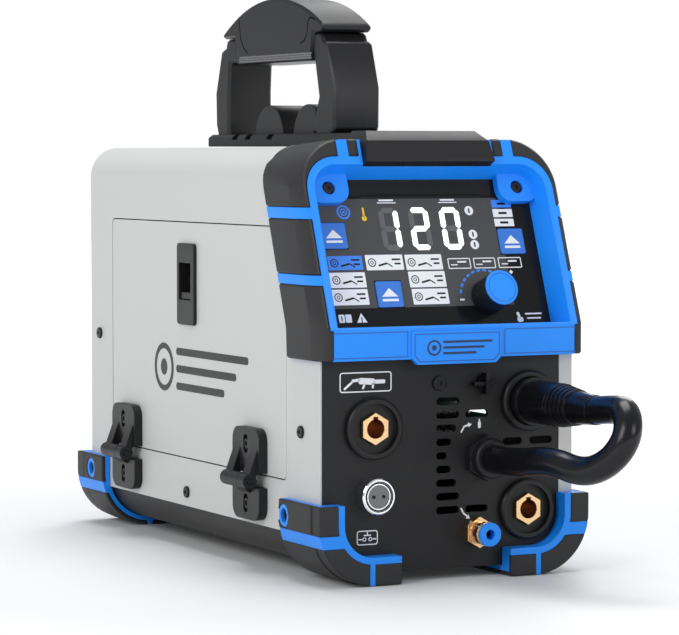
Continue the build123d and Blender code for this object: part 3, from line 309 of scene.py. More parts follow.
def make_moulded_group():
    """Fine even grain of moulded plastic, rubber and powder coat."""
    inputs = {
        "Colour": (0.5, 0.5, 0.5, 1),
        "Shade Spread": 0.06,
        "Grain Scale": 1800.0,
        "Grain Depth": 0.00003,
        "Roughness": 0.5,
        "Roughness Spread": 0.08,
        "Edge Radius": 0.0004,
    }
    tree, given, out = start_group("moulded_texture", inputs, SURFACE_OUTPUTS)
    place = tree.nodes.new("ShaderNodeTexCoord").outputs["Object"]
    grain = noise(tree, place, given.outputs["Grain Scale"], 3.0)
    cloud = noise(tree, place, CLOUD_SCALE, 4.0)
    colour = shade(tree, given.outputs["Colour"], cloud, given.outputs["Shade Spread"])
    roughness = swing(tree, cloud, given.outputs["Roughness Spread"], given.outputs["Roughness"])
    normal = rounded_bump(tree, grain, given.outputs["Grain Depth"], given.outputs["Edge Radius"])
    return give_surface(tree, out, colour, roughness, normal)


def make_brushed_group():
    """Fine lines left on metal by rolling, drawing or turning."""
    inputs = {
        "Colour": (0.5, 0.5, 0.5, 1),
        "Shade Spread": 0.12,
        "Stretch": (60.0, 2400.0, 2400.0),
        "Line Depth": 0.00001,
        "Roughness": 0.3,
        "Edge Radius": 0.0003,
    }
    tree, given, out = start_group("brushed_texture", inputs, SURFACE_OUTPUTS)
    place = tree.nodes.new("ShaderNodeTexCoord").outputs["Object"]
    stretch = tree.nodes.new("ShaderNodeVectorMath")
    stretch.operation = "MULTIPLY"
    tree.links.new(place, stretch.inputs[0])
    tree.links.new(given.outputs["Stretch"], stretch.inputs[1])
    lines = noise(tree, stretch.outputs[0], 1.0, 2.0)
    colour = shade(tree, given.outputs["Colour"], lines, given.outputs["Shade Spread"])
    roughness = swing(tree, lines, BRUSHED_ROUGHNESS_SPREAD, given.outputs["Roughness"])
    normal = rounded_bump(tree, lines, given.outputs["Line Depth"], given.outputs["Edge Radius"])
    return give_surface(tree, out, colour, roughness, normal)


def make_wound_group():
    """Close turns of thin wire lying side by side along the spool."""
    inputs = {
        "Turns Per Metre": 1000.0,
        "Turn Depth": 0.0003,
    }
    outputs = {"Groove": FLOAT, "Normal": VECTOR}
    tree, given, out = start_group("wound_wire", inputs, outputs)
    place = tree.nodes.new("ShaderNodeTexCoord").outputs["Object"]
    parts = tree.nodes.new("ShaderNodeSeparateXYZ")
    tree.links.new(place, parts.inputs[0])
    turns = math_node(tree, "MULTIPLY", parts.outputs["X"], given.outputs["Turns Per Metre"])
    wander = math_node(tree, "MULTIPLY", noise(tree, place, WIRE_WANDER_SCALE, 2.0), WIRE_WANDER)
    phase = math_node(tree, "MULTIPLY", math_node(tree, "ADD", turns, wander), 2 * pi)
    groove = math_node(tree, "MULTIPLY_ADD", math_node(tree, "SINE", phase), 0.5, 0.5)
    bump = tree.nodes.new("ShaderNodeBump")
    tree.links.new(groove, bump.inputs["Height"])
    tree.links.new(given.outputs["Turn Depth"], bump.inputs["Distance"])
    tree.links.new(groove, out.inputs["Groove"])
    tree.links.new(bump.outputs[0], out.inputs["Normal"])
    return tree


# ---- materials


def start_material(name):
    """Material with a Principled shader; returns it, its tree and the shader."""
    material = bpy.data.materials.new(name)
    material.use_nodes = True
    tree = material.node_tree
    return material, tree, tree.nodes["Principled BSDF"]


def textured(name, group, colour, roughness, spread, edge, pattern, shader):
    """Material that takes its colour, roughness and normal from a texture group."""
    material, tree, surface = start_material(name)
    node = tree.nodes.new("ShaderNodeGroup")
    node.node_tree = bpy.data.node_groups[group]
    values = {
        "Colour": (*colour, 1.0), "Roughness": roughness, "Shade Spread": spread, "Edge Radius": edge * MM,
    }
    for label, value in {**values, **pattern}.items():
        node.inputs[label].default_value = value
    for output, label in (("Colour", "Base Color"), ("Roughness", "Roughness"), ("Normal", "Normal")):
        tree.links.new(node.outputs[output], surface.inputs[label])
    for label, value in shader.items():
        surface.inputs[label.replace("_", " ")].default_value = value
    return material


def moulded(name, colour, roughness, grain=1800.0, depth=0.03, spread=0.06, edge=0.4, **shader):
    """Plastic, rubber or paint with the moulded texture; depth and edge in millimetres."""
    pattern = {"Grain Scale": grain, "Grain Depth": depth * MM}
    return textured(name, "moulded_texture", colour, roughness, spread, edge, pattern, shader)


def metal(name, colour, roughness, stretch, depth=0.01, spread=0.12, edge=0.3):
    """Bare metal with fine lines; stretch is how closely the lines lie along X, Y and Z."""
    pattern = {"Stretch": stretch, "Line Depth": depth * MM}
    return textured(name, "brushed_texture", colour, roughness, spread, edge, pattern, {"Metallic": 1.0})


# painted shade in the grooves between the wire's turns: how bright the wire is there
GROOVE_PAINTED_SHADE = 0.25


def wound(name, colour):
    """Bright steel wire wound on the spool, with painted shade in the grooves between its turns."""
    material, tree, surface = start_material(name)
    node = tree.nodes.new("ShaderNodeGroup")
    node.node_tree = bpy.data.node_groups["wound_wire"]
    dark = tree.nodes.new("ShaderNodeMix")
    dark.data_type = "RGBA"
    dark.inputs["A"].default_value = (*[c * GROOVE_PAINTED_SHADE for c in colour], 1.0)
    dark.inputs["B"].default_value = (*colour, 1.0)
    tree.links.new(node.outputs["Groove"], dark.inputs["Factor"])
    tree.links.new(dark.outputs["Result"], surface.inputs["Base Color"])
    tree.links.new(node.outputs["Normal"], surface.inputs["Normal"])
    surface.inputs["Metallic"].default_value = 0.55
    surface.inputs["Roughness"].default_value = 0.3
    return material


def lit(name, colour, strength):
    """Display element that glows."""
    material = moulded(name, colour, 0.4, depth=0.002, spread=0.02)
    surface = material.node_tree.nodes["Principled BSDF"]
    surface.inputs["Emission Color"].default_value = (*colour, 1.0)
    surface.inputs["Emission Strength"].default_value = strength
    return material


DULL = {"Specular_IOR_Level": 0.34}
DIM = {"Specular_IOR_Level": 0.2}
MATT = {"Specular_IOR_Level": 0.05}

# grain scale, grain depth, shade spread and edge width of printed marks
PRINT = (3000.0, 0.002, 0.03, 0.05)

# how closely the lines of turned metal lie
TURNED = (900.0, 120.0, 900.0)


def make_finishes(colours):
    """Every finish of the machine, by name."""
    accent, dark = tuple(colours.accent), tuple(colours.dark)
    return {
        "cover_paint": moulded("powder_coat_grey", tuple(colours.cover), 0.42, 900.0, 0.02, 0.03, 0.5),
        "black_paint": moulded("powder_coat_black", (0.014, 0.014, 0.015), 0.46, 1200.0, 0.03, **DULL),
        "panel_plastic": moulded("panel_plastic", dark, 0.48, 1600.0, 0.05, 0.10, 0.4, **DULL),
        "blue_plastic": moulded("azure_plastic", accent, 0.36, 2200.0, 0.008, 0.04, 0.8, **DULL),
        "pad_rubber": moulded("pad_rubber", tuple(colours.pad), 0.50, 1500.0, 0.05, 0.10, 0.7, **DULL),
        "black_plastic": moulded("textured_black", dark, 0.40, 1700.0, 0.04, 0.08, 0.8, **DULL),
        "display_gloss": moulded(
            "display_plate", tuple(colours.display), 0.14, 300.0, 0.001, 0.04, 0.3, **DIM),
        "key_blue": moulded("key_plastic", (0.02, 0.17, 0.62), 0.3, 2000.0, 0.006, 0.05, 0.7),
        "brass": metal("turned_brass", (0.84, 0.56, 0.30), 0.24, TURNED, 0.002),
        "brass_dark": metal("brass_in_shade", (0.46, 0.25, 0.14), 0.34, TURNED, 0.002),
        "socket_core": moulded(
            "socket_core", (0.16, 0.165, 0.17), 0.30, 900.0, 0.01, 0.10, 0.5, Metallic=0.7),
        # darker blue lines: painted shade along the raised beads of the band and the name plate, and round
        # the sunk face of the knob's cap
        "painted_shade_blue": moulded("painted_shade_blue", (0.006, 0.10, 0.46), 0.4, *PRINT),
        "knurl_sheen": moulded("knurl_sheen", (0.17, 0.17, 0.175), 0.4, 1700.0, 0.02, 0.08, 0.3),
        "chrome": metal("chrome_plate", (0.80, 0.80, 0.82), 0.10, (200.0, 200.0, 200.0), 0.002, 0.05),
        "steel": metal("zinc_steel", (0.56, 0.57, 0.60), 0.28, (300.0, 1600.0, 300.0)),
        "screw_black": metal("black_oxide", (0.035, 0.035, 0.038), 0.36, (900.0, 900.0, 900.0)),
        "aluminium": metal("drawn_aluminium", (0.78, 0.79, 0.81), 0.30, (1800.0, 60.0, 1800.0)),
        "circuit_board": moulded("solder_mask", (0.012, 0.11, 0.045), 0.3, 700.0, 0.01, 0.2, 0.2),
        "transformer_mix": moulded("ferrite_and_tape", (0.10, 0.075, 0.04), 0.55, 900.0, 0.08, 0.3, 0.5),
        "lead_rubber": moulded("lead_rubber", tuple(colours.lead), 0.24, 900.0, 0.012, 0.1, 0.8, **DULL),
        "red_plastic": moulded("rocker_red", (0.55, 0.02, 0.015), 0.3, 2000.0, 0.006, 0.05, 0.6),
        "spool_plastic": moulded("spool_plastic", (0.025, 0.025, 0.027), 0.3, 1500.0, 0.01, 0.05, 0.5),
        "wire_steel": wound("wound_wire_steel", (0.66, 0.67, 0.69)),
        "white_print": moulded("white_print", tuple(colours.marks), 0.5, *PRINT),
        "blue_print": moulded("blue_print", (0.03, 0.22, 0.80), 0.4, *PRINT),
        "dark_print": moulded("dark_print", (0.008, 0.008, 0.009), 0.30, *PRINT, **DIM),
        "yellow_print": moulded("yellow_print", (0.80, 0.52, 0.02), 0.4, *PRINT),
        "seam_shadow": moulded("seam_shadow", (0.002, 0.002, 0.002), 0.9, *PRINT, **MATT),
        "navy_print": moulded("navy_print", (0.006, 0.025, 0.10), 0.4, *PRINT),
        "display_field": moulded(
            "display_field", (0.070, 0.072, 0.075), 0.22, 600.0, 0.001, 0.10, 0.05, **DIM),
        "digit_on": lit("digit_on", (0.92, 0.94, 0.96), 1.1),
        "digit_off": moulded("digit_off", (0.10, 0.105, 0.11), 0.4, *PRINT),
    }


FINISHES = {}


# ---- modelling helpers


def clear_selection():
    """Goes back to object mode with nothing selected."""
    if bpy.context.object and bpy.context.object.mode != "OBJECT":
        bpy.ops.object.mode_set(mode="OBJECT")
    bpy.ops.object.select_all(action="DESELECT")


def only(piece):
    """Selects one piece and makes it active."""
    clear_selection()
    piece.select_set(True)
    bpy.context.view_layer.objects.active = piece


def apply_modifier(piece, kind, **settings):
    """Adds a modifier, sets it up and applies it."""
    only(piece)
    modifier = piece.modifiers.new(kind.lower(), kind)
    for name, value in settings.items():
        setattr(modifier, name, value)
    bpy.ops.object.modifier_apply(modifier=modifier.name)


def settle(piece):
    """Puts a piece's place into its mesh, with its object at the origin."""
    only(piece)
    bpy.ops.object.transform_apply(location=True, rotation=True, scale=True)


def dress(piece, finish, body):
    """Gives a piece its finish and the body that it rides on."""
    piece.data.materials.clear()
    piece.data.materials.append(FINISHES[finish])
    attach(piece, body)
    return piece


def smooth(piece, angle=35):
    """Smooth shading, kept sharp past an angle."""
    only(piece)
    bpy.ops.object.shade_smooth_by_angle(angle=radians(angle))


def line_bores(piece, bores, finish):
    """Gives another finish to the faces within (x, z, radius) of axes that run front to back."""
    piece.data.materials.append(FINISHES[finish])
    points = piece.data.vertices
    for face in piece.data.polygons:
        for x, z, radius in bores:
            axis = Vector((x, z)) * MM
            if all((points[i].co.xz - axis).length < radius * MM for i in face.vertices):
                face.material_index = 1


MERGE_DISTANCE = 0.004 * MM
FLAT_ANGLE = radians(0.6)
EDGE_ANGLE = radians(35)


def softened(node, width, steps=2, finish=None, clamp=True):
    """Merged copy of a solid with rounded edges, which stands for it; width in millimetres."""
    source = NODES[node]
    piece = source.copy()
    piece.data = source.data.copy()
    body = source["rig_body"]
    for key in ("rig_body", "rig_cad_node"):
        del piece[key]
    piece.parent = None
    piece.name = node + "_rounded"
    bpy.context.collection.objects.link(piece)
    only(piece)
    bpy.ops.object.mode_set(mode="EDIT")
    bpy.ops.mesh.select_all(action="SELECT")
    bpy.ops.mesh.remove_doubles(threshold=MERGE_DISTANCE)
    bpy.ops.mesh.dissolve_limited(angle_limit=FLAT_ANGLE)
    bpy.ops.object.mode_set(mode="OBJECT")
    apply_modifier(piece, "BEVEL", width=width * MM, segments=steps, limit_method="ANGLE",
                   angle_limit=EDGE_ANGLE, use_clamp_overlap=clamp)
    smooth(piece)
    apply_modifier(piece, "WEIGHTED_NORMAL", keep_sharp=True, weight=80)
    slot = next(p["material_slot"] for p in frame["record"]["subparts"] if p["node"] == node)
    dress(piece, finish or slot, body)
    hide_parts(node)
    return piece


class Sketch:
    """Flat marks drawn on one face of the machine in millimetres, then raised as thin solids."""

    # corner radius of a path's ends, as a part of its width
    ROUND_END = 0.48

    def __init__(self, name, face, lift=0.0):
        clear_selection()
        mesh = bpy.data.meshes.new(name)
        self.piece = bpy.data.objects.new(name, mesh)
        self.face = face
        self.lift = lift
        bpy.context.collection.objects.link(self.piece)
        only(self.piece)
        bpy.ops.object.mode_set(mode="EDIT")

    def hollow(self, line):
        """Leaves only the rim of the last shape, of a given width."""
        bpy.ops.mesh.inset(thickness=line * MM)
        bpy.ops.mesh.delete(type="FACE")
        return self

    def lower_cut(self, x0, x1, y0, y1, cut, line):
        """Outline of a plaque whose two lower corners are cut off."""
        self.span(x0, x1, y0, y1)
        mesh = bmesh.from_edit_mesh(self.piece.data)
        for vertex in mesh.verts:
            vertex.select = vertex.select and vertex.co.y < (y0 + y1) / 2 * MM
        mesh.select_flush_mode()
        bpy.ops.mesh.bevel(offset=cut * MM, offset_type="OFFSET", segments=1, affect="VERTICES")
        bpy.ops.mesh.select_linked()
        return self.hollow(line)

    def tile(self, x, y, width, height, corner=0.0, steps=4, turn=0.0):
        """Rectangle about a centre, with rounded or cut corners."""
        bpy.ops.mesh.select_all(action="DESELECT")
        bpy.ops.mesh.primitive_plane_add(size=MM)
        bpy.ops.transform.resize(value=(width, height, 1), center_override=(0, 0, 0))
        if corner:
            bpy.ops.mesh.bevel(offset=corner * MM, offset_type="OFFSET", segments=steps, affect="VERTICES")
        if turn:
            bpy.ops.transform.rotate(value=-radians(turn), orient_axis="Z", center_override=(0, 0, 0))
        bpy.ops.transform.translate(value=(x * MM, y * MM, 0))
        return self

    def tiles(self, strokes):
        """Rectangles from a table of strokes."""
        for stroke in strokes:
            self.tile(*stroke)
        return self

    def span(self, x0, x1, y0, y1, corner=0.0, steps=4):
        """Rectangle between two corners."""
        return self.tile((x0 + x1) / 2, (y0 + y1) / 2, abs(x1 - x0), abs(y1 - y0), corner, steps)

    def frame(self, x0, x1, y0, y1, line, corner=0.8):
        """Outline of a rectangle with rounded corners."""
        return self.span(x0, x1, y0, y1, corner).hollow(line)

    def disc(self, x, y, radius, sides=24, turn=0.0):
        """Round or many-sided spot."""
        bpy.ops.mesh.select_all(action="DESELECT")
        bpy.ops.mesh.primitive_circle_add(vertices=sides, radius=radius * MM, fill_type="NGON",
                                          location=(x * MM, y * MM, 0), rotation=(0, 0, radians(turn)))
        return self

    def arrowhead(self, x, y, width, height):
        """Triangle that points up, standing on its base at y."""
        self.disc(x, y + height / 3, 1.0, 3)
        bpy.ops.transform.resize(value=(width / 3 ** 0.5, height / 1.5, 1),
                                 center_override=(x * MM, (y + height / 3) * MM, 0))
        return self

    def path(self, points, width):
        """Line of a given width through points."""
        for (x0, y0), (x1, y1) in zip(points, points[1:]):
            length, turn = hypot(x1 - x0, y1 - y0), degrees(atan2(y1 - y0, x1 - x0))
            self.tile((x0 + x1) / 2, (y0 + y1) / 2, length + width, width, width * self.ROUND_END, 2, turn)
        return self

    def ring(self, x, y, radius, line, sides=32):
        """Round outline."""
        return self.disc(x, y, radius, sides).hollow(line)

    def close(self, finish, height=None, slot=None, body="case"):
        """Raises the marks, puts them on their face and gives them their finish."""
        sizes = bpy.context.scene.welder_sizes
        rise = sizes.print_height if height is None else height * MM
        face, face_slot = FACES[self.face]
        bpy.ops.mesh.select_all(action="SELECT")
        bpy.ops.mesh.extrude_region_move(TRANSFORM_OT_translate={"value": (0, 0, rise)})
        bpy.ops.mesh.select_all(action="SELECT")
        bpy.ops.mesh.normals_make_consistent(inside=False)
        bpy.ops.object.mode_set(mode="OBJECT")
        self.piece.matrix_world = face @ Matrix.Translation((0, 0, self.lift * MM))
        settle(self.piece)
        dress(self.piece, finish, body)


# ---- stage


CAMERA_PLACE = (-0.9596, -1.9621, 0.2825)
CAMERA_TURN = (radians(86.91), 0, radians(-26.49))
SENSOR_WIDTH = 36.0
LIGHTS_AIM = (0, -0.05, 0.2)

# place, width and power of each light
LIGHTS = {
    "key_light": ((-1.9, -0.9, 1.3), 1.1, 21.0),
    "front_light": ((0.9, -2.2, 1.0), 0.8, 9.0),
    "top_light": ((0.1, 0.3, 2.0), 1.3, 28.0),
    "back_light": ((1.5, 1.7, 1.4), 1.0, 12.0),
}
SKY_COLOUR = (0.95, 0.97, 1.0, 1)
SKY_STRENGTH = 0.5

# distances from the machine in metres, and the floor's glow there
FLOOR_GLOW = {"From Min": 0.35, "From Max": 1.9, "To Min": 0.02, "To Max": 0.95}


def area_light(name, place, size, power):
    """Soft square light aimed at the machine."""
    bpy.ops.object.light_add(type="AREA", location=place)
    lamp = bpy.context.object
    lamp.name = name
    lamp.data.size = size
    lamp.data.energy = power
    lamp.rotation_euler = (Vector(LIGHTS_AIM) - Vector(place)).to_track_quat("-Z", "Y").to_euler()


class WELDER_OT_stage(bpy.types.Operator):
    """Floor, studio lights and camera."""

    bl_idname = "welder.stage"
    bl_label = "Stage, lights and camera"

    def execute(self, context):
        sizes = context.scene.welder_sizes
        clear_selection()
        bpy.ops.mesh.primitive_plane_add(size=sizes.floor_size, location=(0, 0, 0))
        floor = context.object
        floor.name = "studio_floor"
        white = moulded("studio_floor", (0.74, 0.74, 0.74), 0.6, 40.0, 0.01, 0.01, 0.0)
        self.fade_floor(white)
        floor.data.materials.append(white)
        context.scene.world = self.make_world()
        for name, (place, width, power) in LIGHTS.items():
            area_light(name, place, width, power)
        bpy.ops.object.camera_add(location=CAMERA_PLACE, rotation=CAMERA_TURN)
        camera = context.object
        camera.data.lens = sizes.lens_length
        camera.data.sensor_width = SENSOR_WIDTH
        context.scene.camera = camera
        context.scene.view_settings.view_transform = "Standard"
        context.scene.view_settings.look = "None"
        return {"FINISHED"}

    def fade_floor(self, white):
        """Lets the floor glow up to the backdrop's white away from the machine."""
        tree = white.node_tree
        surface = tree.nodes["Principled BSDF"]
        place = tree.nodes.new("ShaderNodeTexCoord").outputs["Object"]
        distance = tree.nodes.new("ShaderNodeVectorMath")
        distance.operation = "LENGTH"
        tree.links.new(place, distance.inputs[0])
        rise = tree.nodes.new("ShaderNodeMapRange")
        for name, value in FLOOR_GLOW.items():
            rise.inputs[name].default_value = value
        tree.links.new(distance.outputs["Value"], rise.inputs["Value"])
        surface.inputs["Emission Color"].default_value = (1, 1, 1, 1)
        tree.links.new(rise.outputs["Result"], surface.inputs["Emission Strength"])

    def make_world(self):
        """White backdrop for the camera and a dimmer soft sky for the light."""
        world = bpy.data.worlds.new("studio")
        world.use_nodes = True
        tree = world.node_tree
        sky = tree.nodes["Background"]
        sky.inputs["Color"].default_value = SKY_COLOUR
        sky.inputs["Strength"].default_value = SKY_STRENGTH
        backdrop = tree.nodes.new("ShaderNodeBackground")
        backdrop.inputs["Color"].default_value = (1, 1, 1, 1)
        mix = tree.nodes.new("ShaderNodeMixShader")
        tree.links.new(tree.nodes.new("ShaderNodeLightPath").outputs["Is Camera Ray"], mix.inputs[0])
        tree.links.new(sky.outputs[0], mix.inputs[1])
        tree.links.new(backdrop.outputs[0], mix.inputs[2])
        tree.links.new(mix.outputs[0], tree.nodes["World Output"].inputs["Surface"])
        return world


# ---- pieces


class WELDER_OT_finishes(bpy.types.Operator):
    """Finishes, set on every solid that stays as it is."""

    bl_idname = "welder.finishes"
    bl_label = "Finishes"

    def execute(self, context):
        make_moulded_group()
        make_brushed_group()
        make_wound_group()
        FINISHES.update(make_finishes(context.scene.welder_colours))
        for part in frame["record"]["subparts"]:
            node = NODES[part["node"]]
            for index in range(len(node.material_slots)):
                node.material_slots[index].material = FINISHES[part["material_slot"]]
        return {"FINISHED"}


class WELDER_OT_polarity_lead(bpy.types.Operator):
    """Thick rubber lead that joins the gland to the positive socket."""

    bl_idname = "welder.polarity_lead"
    bl_label = "Polarity lead"

    def execute(self, context):
        sizes = context.scene.welder_sizes
        curve = bpy.data.curves.new("polarity_lead_rubber", "CURVE")
        curve.dimensions = "3D"
        spline = curve.splines.new("NURBS")
        spline.points.add(len(LEAD_POINTS) - 1)
        for point, (x, y, z) in zip(spline.points, LEAD_POINTS):
            point.co = (x * MM, PANEL_Y + y * MM, z * MM, 1.0)
        spline.order_u = 3
        spline.use_endpoint_u = True
        spline.resolution_u = 16
        curve.bevel_depth = sizes.lead_diameter / 2
        curve.bevel_resolution = 10
        curve.use_fill_caps = True
        lead = bpy.data.objects.new("polarity_lead_rubber", curve)
        context.collection.objects.link(lead)
        dress(lead, "lead_rubber", "case")
        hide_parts("polarity_lead")
        x, y, z = LEAD_POINTS[0]
        return {"FINISHED"}


class WELDER_OT_housings(bpy.types.Operator):
    """Sheet-metal, moulded and rubber pieces with rounded edges."""

    bl_idname = "welder.housings"
    bl_label = "Housings"

    # widths of rounded and of cut edges, in millimetres
    ROUNDED = {
        "main_cover": 0.45, "door_panel": 0.6, "hood_frame": 0.8, "front_bumpers": 0.8, "rear_bumpers": 0.8,
        "hood_top_bar": 0.9, "handle_base": 1.2, "latch_housing": 0.6, "latch_slider": 0.4, "base_tray": 0.6,
        "panel_sockets": 0.5, "hinge_door_leaves": 0.5, "hinge_case_leaves": 0.5,
        "knob_cap": 0.5, "gas_collar": 0.4, "lead_gland": 0.5, "power_switch": 0.5, "switch_rocker": 0.5,
        "mains_gland": 0.4, "wire_spool": 0.5, "pressure_arm": 0.5, "tension_knob": 0.4, "spool_nut": 0.5,
    }
    CUT = {
        "hood_pads": 1.3, "bumper_pads": 0.7, "handle_frame": 2.0, "handle_grip_cover": 1.8,
    }

    def execute(self, context):
        rounded = {node: softened(node, width, 3 if width > 1 else 2) for node, width in self.ROUNDED.items()}
        for node, width in self.CUT.items():
            softened(node, width, steps=1, clamp=False)
        self.deepen_collars(rounded["panel_sockets"])
        softened("hinge_pins", 0.3, finish="screw_black")
        line_bores(softened("gas_outlet", 0.25), GAS_BORE, "seam_shadow")
        line_bores(softened("socket_inserts", 0.25), INSERT_BORES, "brass_dark")
        line_bores(softened("trigger_insulator", 0.2, finish="socket_core"), TRIGGER_PINS, "dark_print")
        return {"FINISHED"}

    def deepen_collars(self, piece):
        """Sinks the floor between each socket's collar and its insert."""
        only(piece)
        bpy.ops.object.mode_set(mode="EDIT")
        bpy.ops.mesh.select_mode(type="VERT")
        mesh = bmesh.from_edit_mesh(piece.data)
        floor_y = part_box("panel_sockets")[0].y + COLLAR_FLOOR_DEPTH
        for vertex in mesh.verts:
            vertex.select = abs(vertex.co.y - floor_y) < COLLAR_FLOOR_SPREAD
        mesh.select_flush_mode()
        bpy.ops.transform.translate(value=(0, COLLAR_SINK, 0))
        bpy.ops.object.mode_set(mode="OBJECT")


# places on the display plate: across, and up the leaning hood, in millimetres
LABELS_WHITE = (
    (-50.2, -22.3, 45.4, 56.1), (-20.6, 7.1, 45.1, 55.9), (-78.6, -52.3, 33.6, 44.2),
    (-20.1, 7.5, 32.9, 44.0), (-79.1, -52.4, 21.6, 32.5), (-19.6, 7.5, 20.9, 31.8),
)
FIELD_PATCHES = (
    (-82.0, 56.6, 79.2, 95.6), (-61.0, 53.0, 60.3, 79.2), (-82.0, 53.0, 54.6, 60.3),
    (-82.0, 56.6, 38.2, 54.6), (-82.0, -46.7, 19.2, 38.2), (-26.7, 56.6, 31.0, 38.2),
    (-26.7, 30.2, 19.2, 31.0), (42.6, 56.6, 19.2, 31.0),
)
LABEL_BLUE = (-78.1, -52.6, 45.9, 55.7)
BOXES = ((11.4, 28.7), (31.0, 47.8), (50.0, 68.0))
BOX_UP = (45.3, 52.9)
SIDE_LABELS = ((81.7, 87.5), (75.1, 80.5))
SIDE_LABEL_BLUE = (88.6, 94.1)
SIDE_LABEL_ACROSS = (52.7, 67.8)
DIGITS = (((-34.8, -20.3), "bc"), ((-12.5, 2.6), "abdeg"), ((11.1, 26.3), "abcdef"))
DIGIT_UP = (59.0, 89.2)
SEGMENT = 3.9
DIAL = (36.4, 24.6)
DIAL_RADIUS = 19.5
DIAL_DASHES = 8
DIAL_START = 166
DIAL_STEP = 13.5
CAP_RIM_RADIUS = 10.2
UNIT_DOTS = ((34.4, 86.6), (34.4, 69.6), (34.4, 62.3))
WARNING_SIGN = (-60.0, 11.6)
HEAT_MARK = (-45.8, 81.8)
COIL_MARK = (-60.6, 86.3)
PRINT_LIFT = 0.04
SECOND_PRINT_LIFT = 0.09
KEYS = ("feed_key", "process_key", "trigger_key")

# strokes: centre across and up, width, height, then corner, corner steps and turn in degrees
DISPLAY_STROKES = (
    (-27.5, 92.6, 14.0, 0.7), (-27.5, 94.4, 11.0, 1.2, 0.3, 2),
    (19.0, 92.6, 14.0, 0.7), (19.0, 94.4, 11.0, 1.2, 0.3, 2),
    (-74.6, 12.4, 4.4, 5.6, 0.6, 2), (-69.6, 12.4, 4.4, 5.6, 0.6, 2),
    (58.5, 11.5, 2.2, 5.0, 0.9, 2, 15), (59.3, 8.6, 4.6, 3.4, 1.2, 3),
    (70.0, 12.5, 13.0, 1.1, 0.4, 2), (70.0, 9.4, 11.0, 1.1, 0.4, 2),
)
TORCH_STROKES = (
    (-74.6, 131.3, 8.0, 1.5, 0.6, 2, 38), (-69.2, 134.6, 6.0, 2.0, 0.8, 2, 6),
    (-61.0, 133.8, 12.0, 4.2, 1.4, 3, -4), (-51.4, 133.4, 8.0, 2.6, 0.8, 2),
    (-63.2, 130.6, 1.5, 4.0, 0.6, 2, -24), (-56.4, 130.8, 1.5, 3.6, 0.6, 2, -10),
)
SWITCH_STROKES = (
    (-65.4, 29.8, 3.4, 0.8), (-55.7, 29.8, 3.4, 0.8), (-60.5, 32.4, 5.4, 0.8), (-60.5, 33.6, 0.8, 2.0),
)
SWITCH_CONTACTS = ((-62.7, 29.8), (-58.4, 29.8))
ARROW_STROKES = (
    (10.6, 99.2, 4.6, 1.1, 0.4, 2, 58), (13.0, 101.6, 4.0, 1.1, 0.4, 2, 18),
    (10.4, 45.0, 4.2, 1.1, 0.4, 2, -62), (12.6, 42.3, 3.8, 1.1, 0.4, 2, -36),
    (23.4, 102.0, 2.2, 4.6, 0.8, 3), (23.4, 105.0, 1.0, 1.8, 0.3, 2),
)

# tips of the arrows: place, and turn in degrees
ARROW_TIPS = ((15.8, 102.3, -80), (14.9, 40.4, -128))
BEADS_ACROSS = ((-92.6, -36.2), (36.2, 92.6))
BEADS_UP = (149.6, 166.6)
RELIEF = 0.12


def hood_place(point):
    """Across and up the hood, in millimetres, of a point in the machine's frame."""
    offset = point - LENS_ORIGIN
    return offset.x / MM, offset.dot(ALONG_HOOD) / MM


def segment_places(x0, x1, y0, y1):
    """Centre, width and height of each segment of a digit, by letter."""
    xm, ym = (x0 + x1) / 2, (y0 + y1) / 2
    flat = (x1 - x0 - SEGMENT - 0.6, SEGMENT)
    tall = (SEGMENT, (y1 - y0) / 2 - SEGMENT / 2 - 0.6)
    left, right = x0 + SEGMENT / 2, x1 - SEGMENT / 2
    top, low = (y1 + ym) / 2 - SEGMENT / 4, (y0 + ym) / 2 + SEGMENT / 4
    return {
        "a": (xm, y1 - SEGMENT / 2, *flat), "g": (xm, ym, *flat), "d": (xm, y0 + SEGMENT / 2, *flat),
        "f": (left, top, *tall), "b": (right, top, *tall), "e": (left, low, *tall), "c": (right, low, *tall),
    }


def draw_process_icon(marks, x0, x1, y0, y1):
    """Wire coil, torch and two short dashes inside a label."""
    middle = (y0 + y1) / 2
    marks.ring(x0 + 4.6, middle, 3.0, 0.7).ring(x0 + 4.6, middle, 1.3, 0.5)
    marks.tile(x0 + 12.5, middle - 1.4, 7.0, 1.3, 0.5, 2, 14)
    marks.tile(x0 + 17.6, middle - 1.9, 4.4, 0.8, 0.3, 2, -34)
    marks.tile(x1 - 5.2, middle + 2.0, 6.4, 1.2, 0.4, 2)
    marks.tile(x1 - 4.4, middle - 1.0, 4.6, 1.2, 0.4, 2)


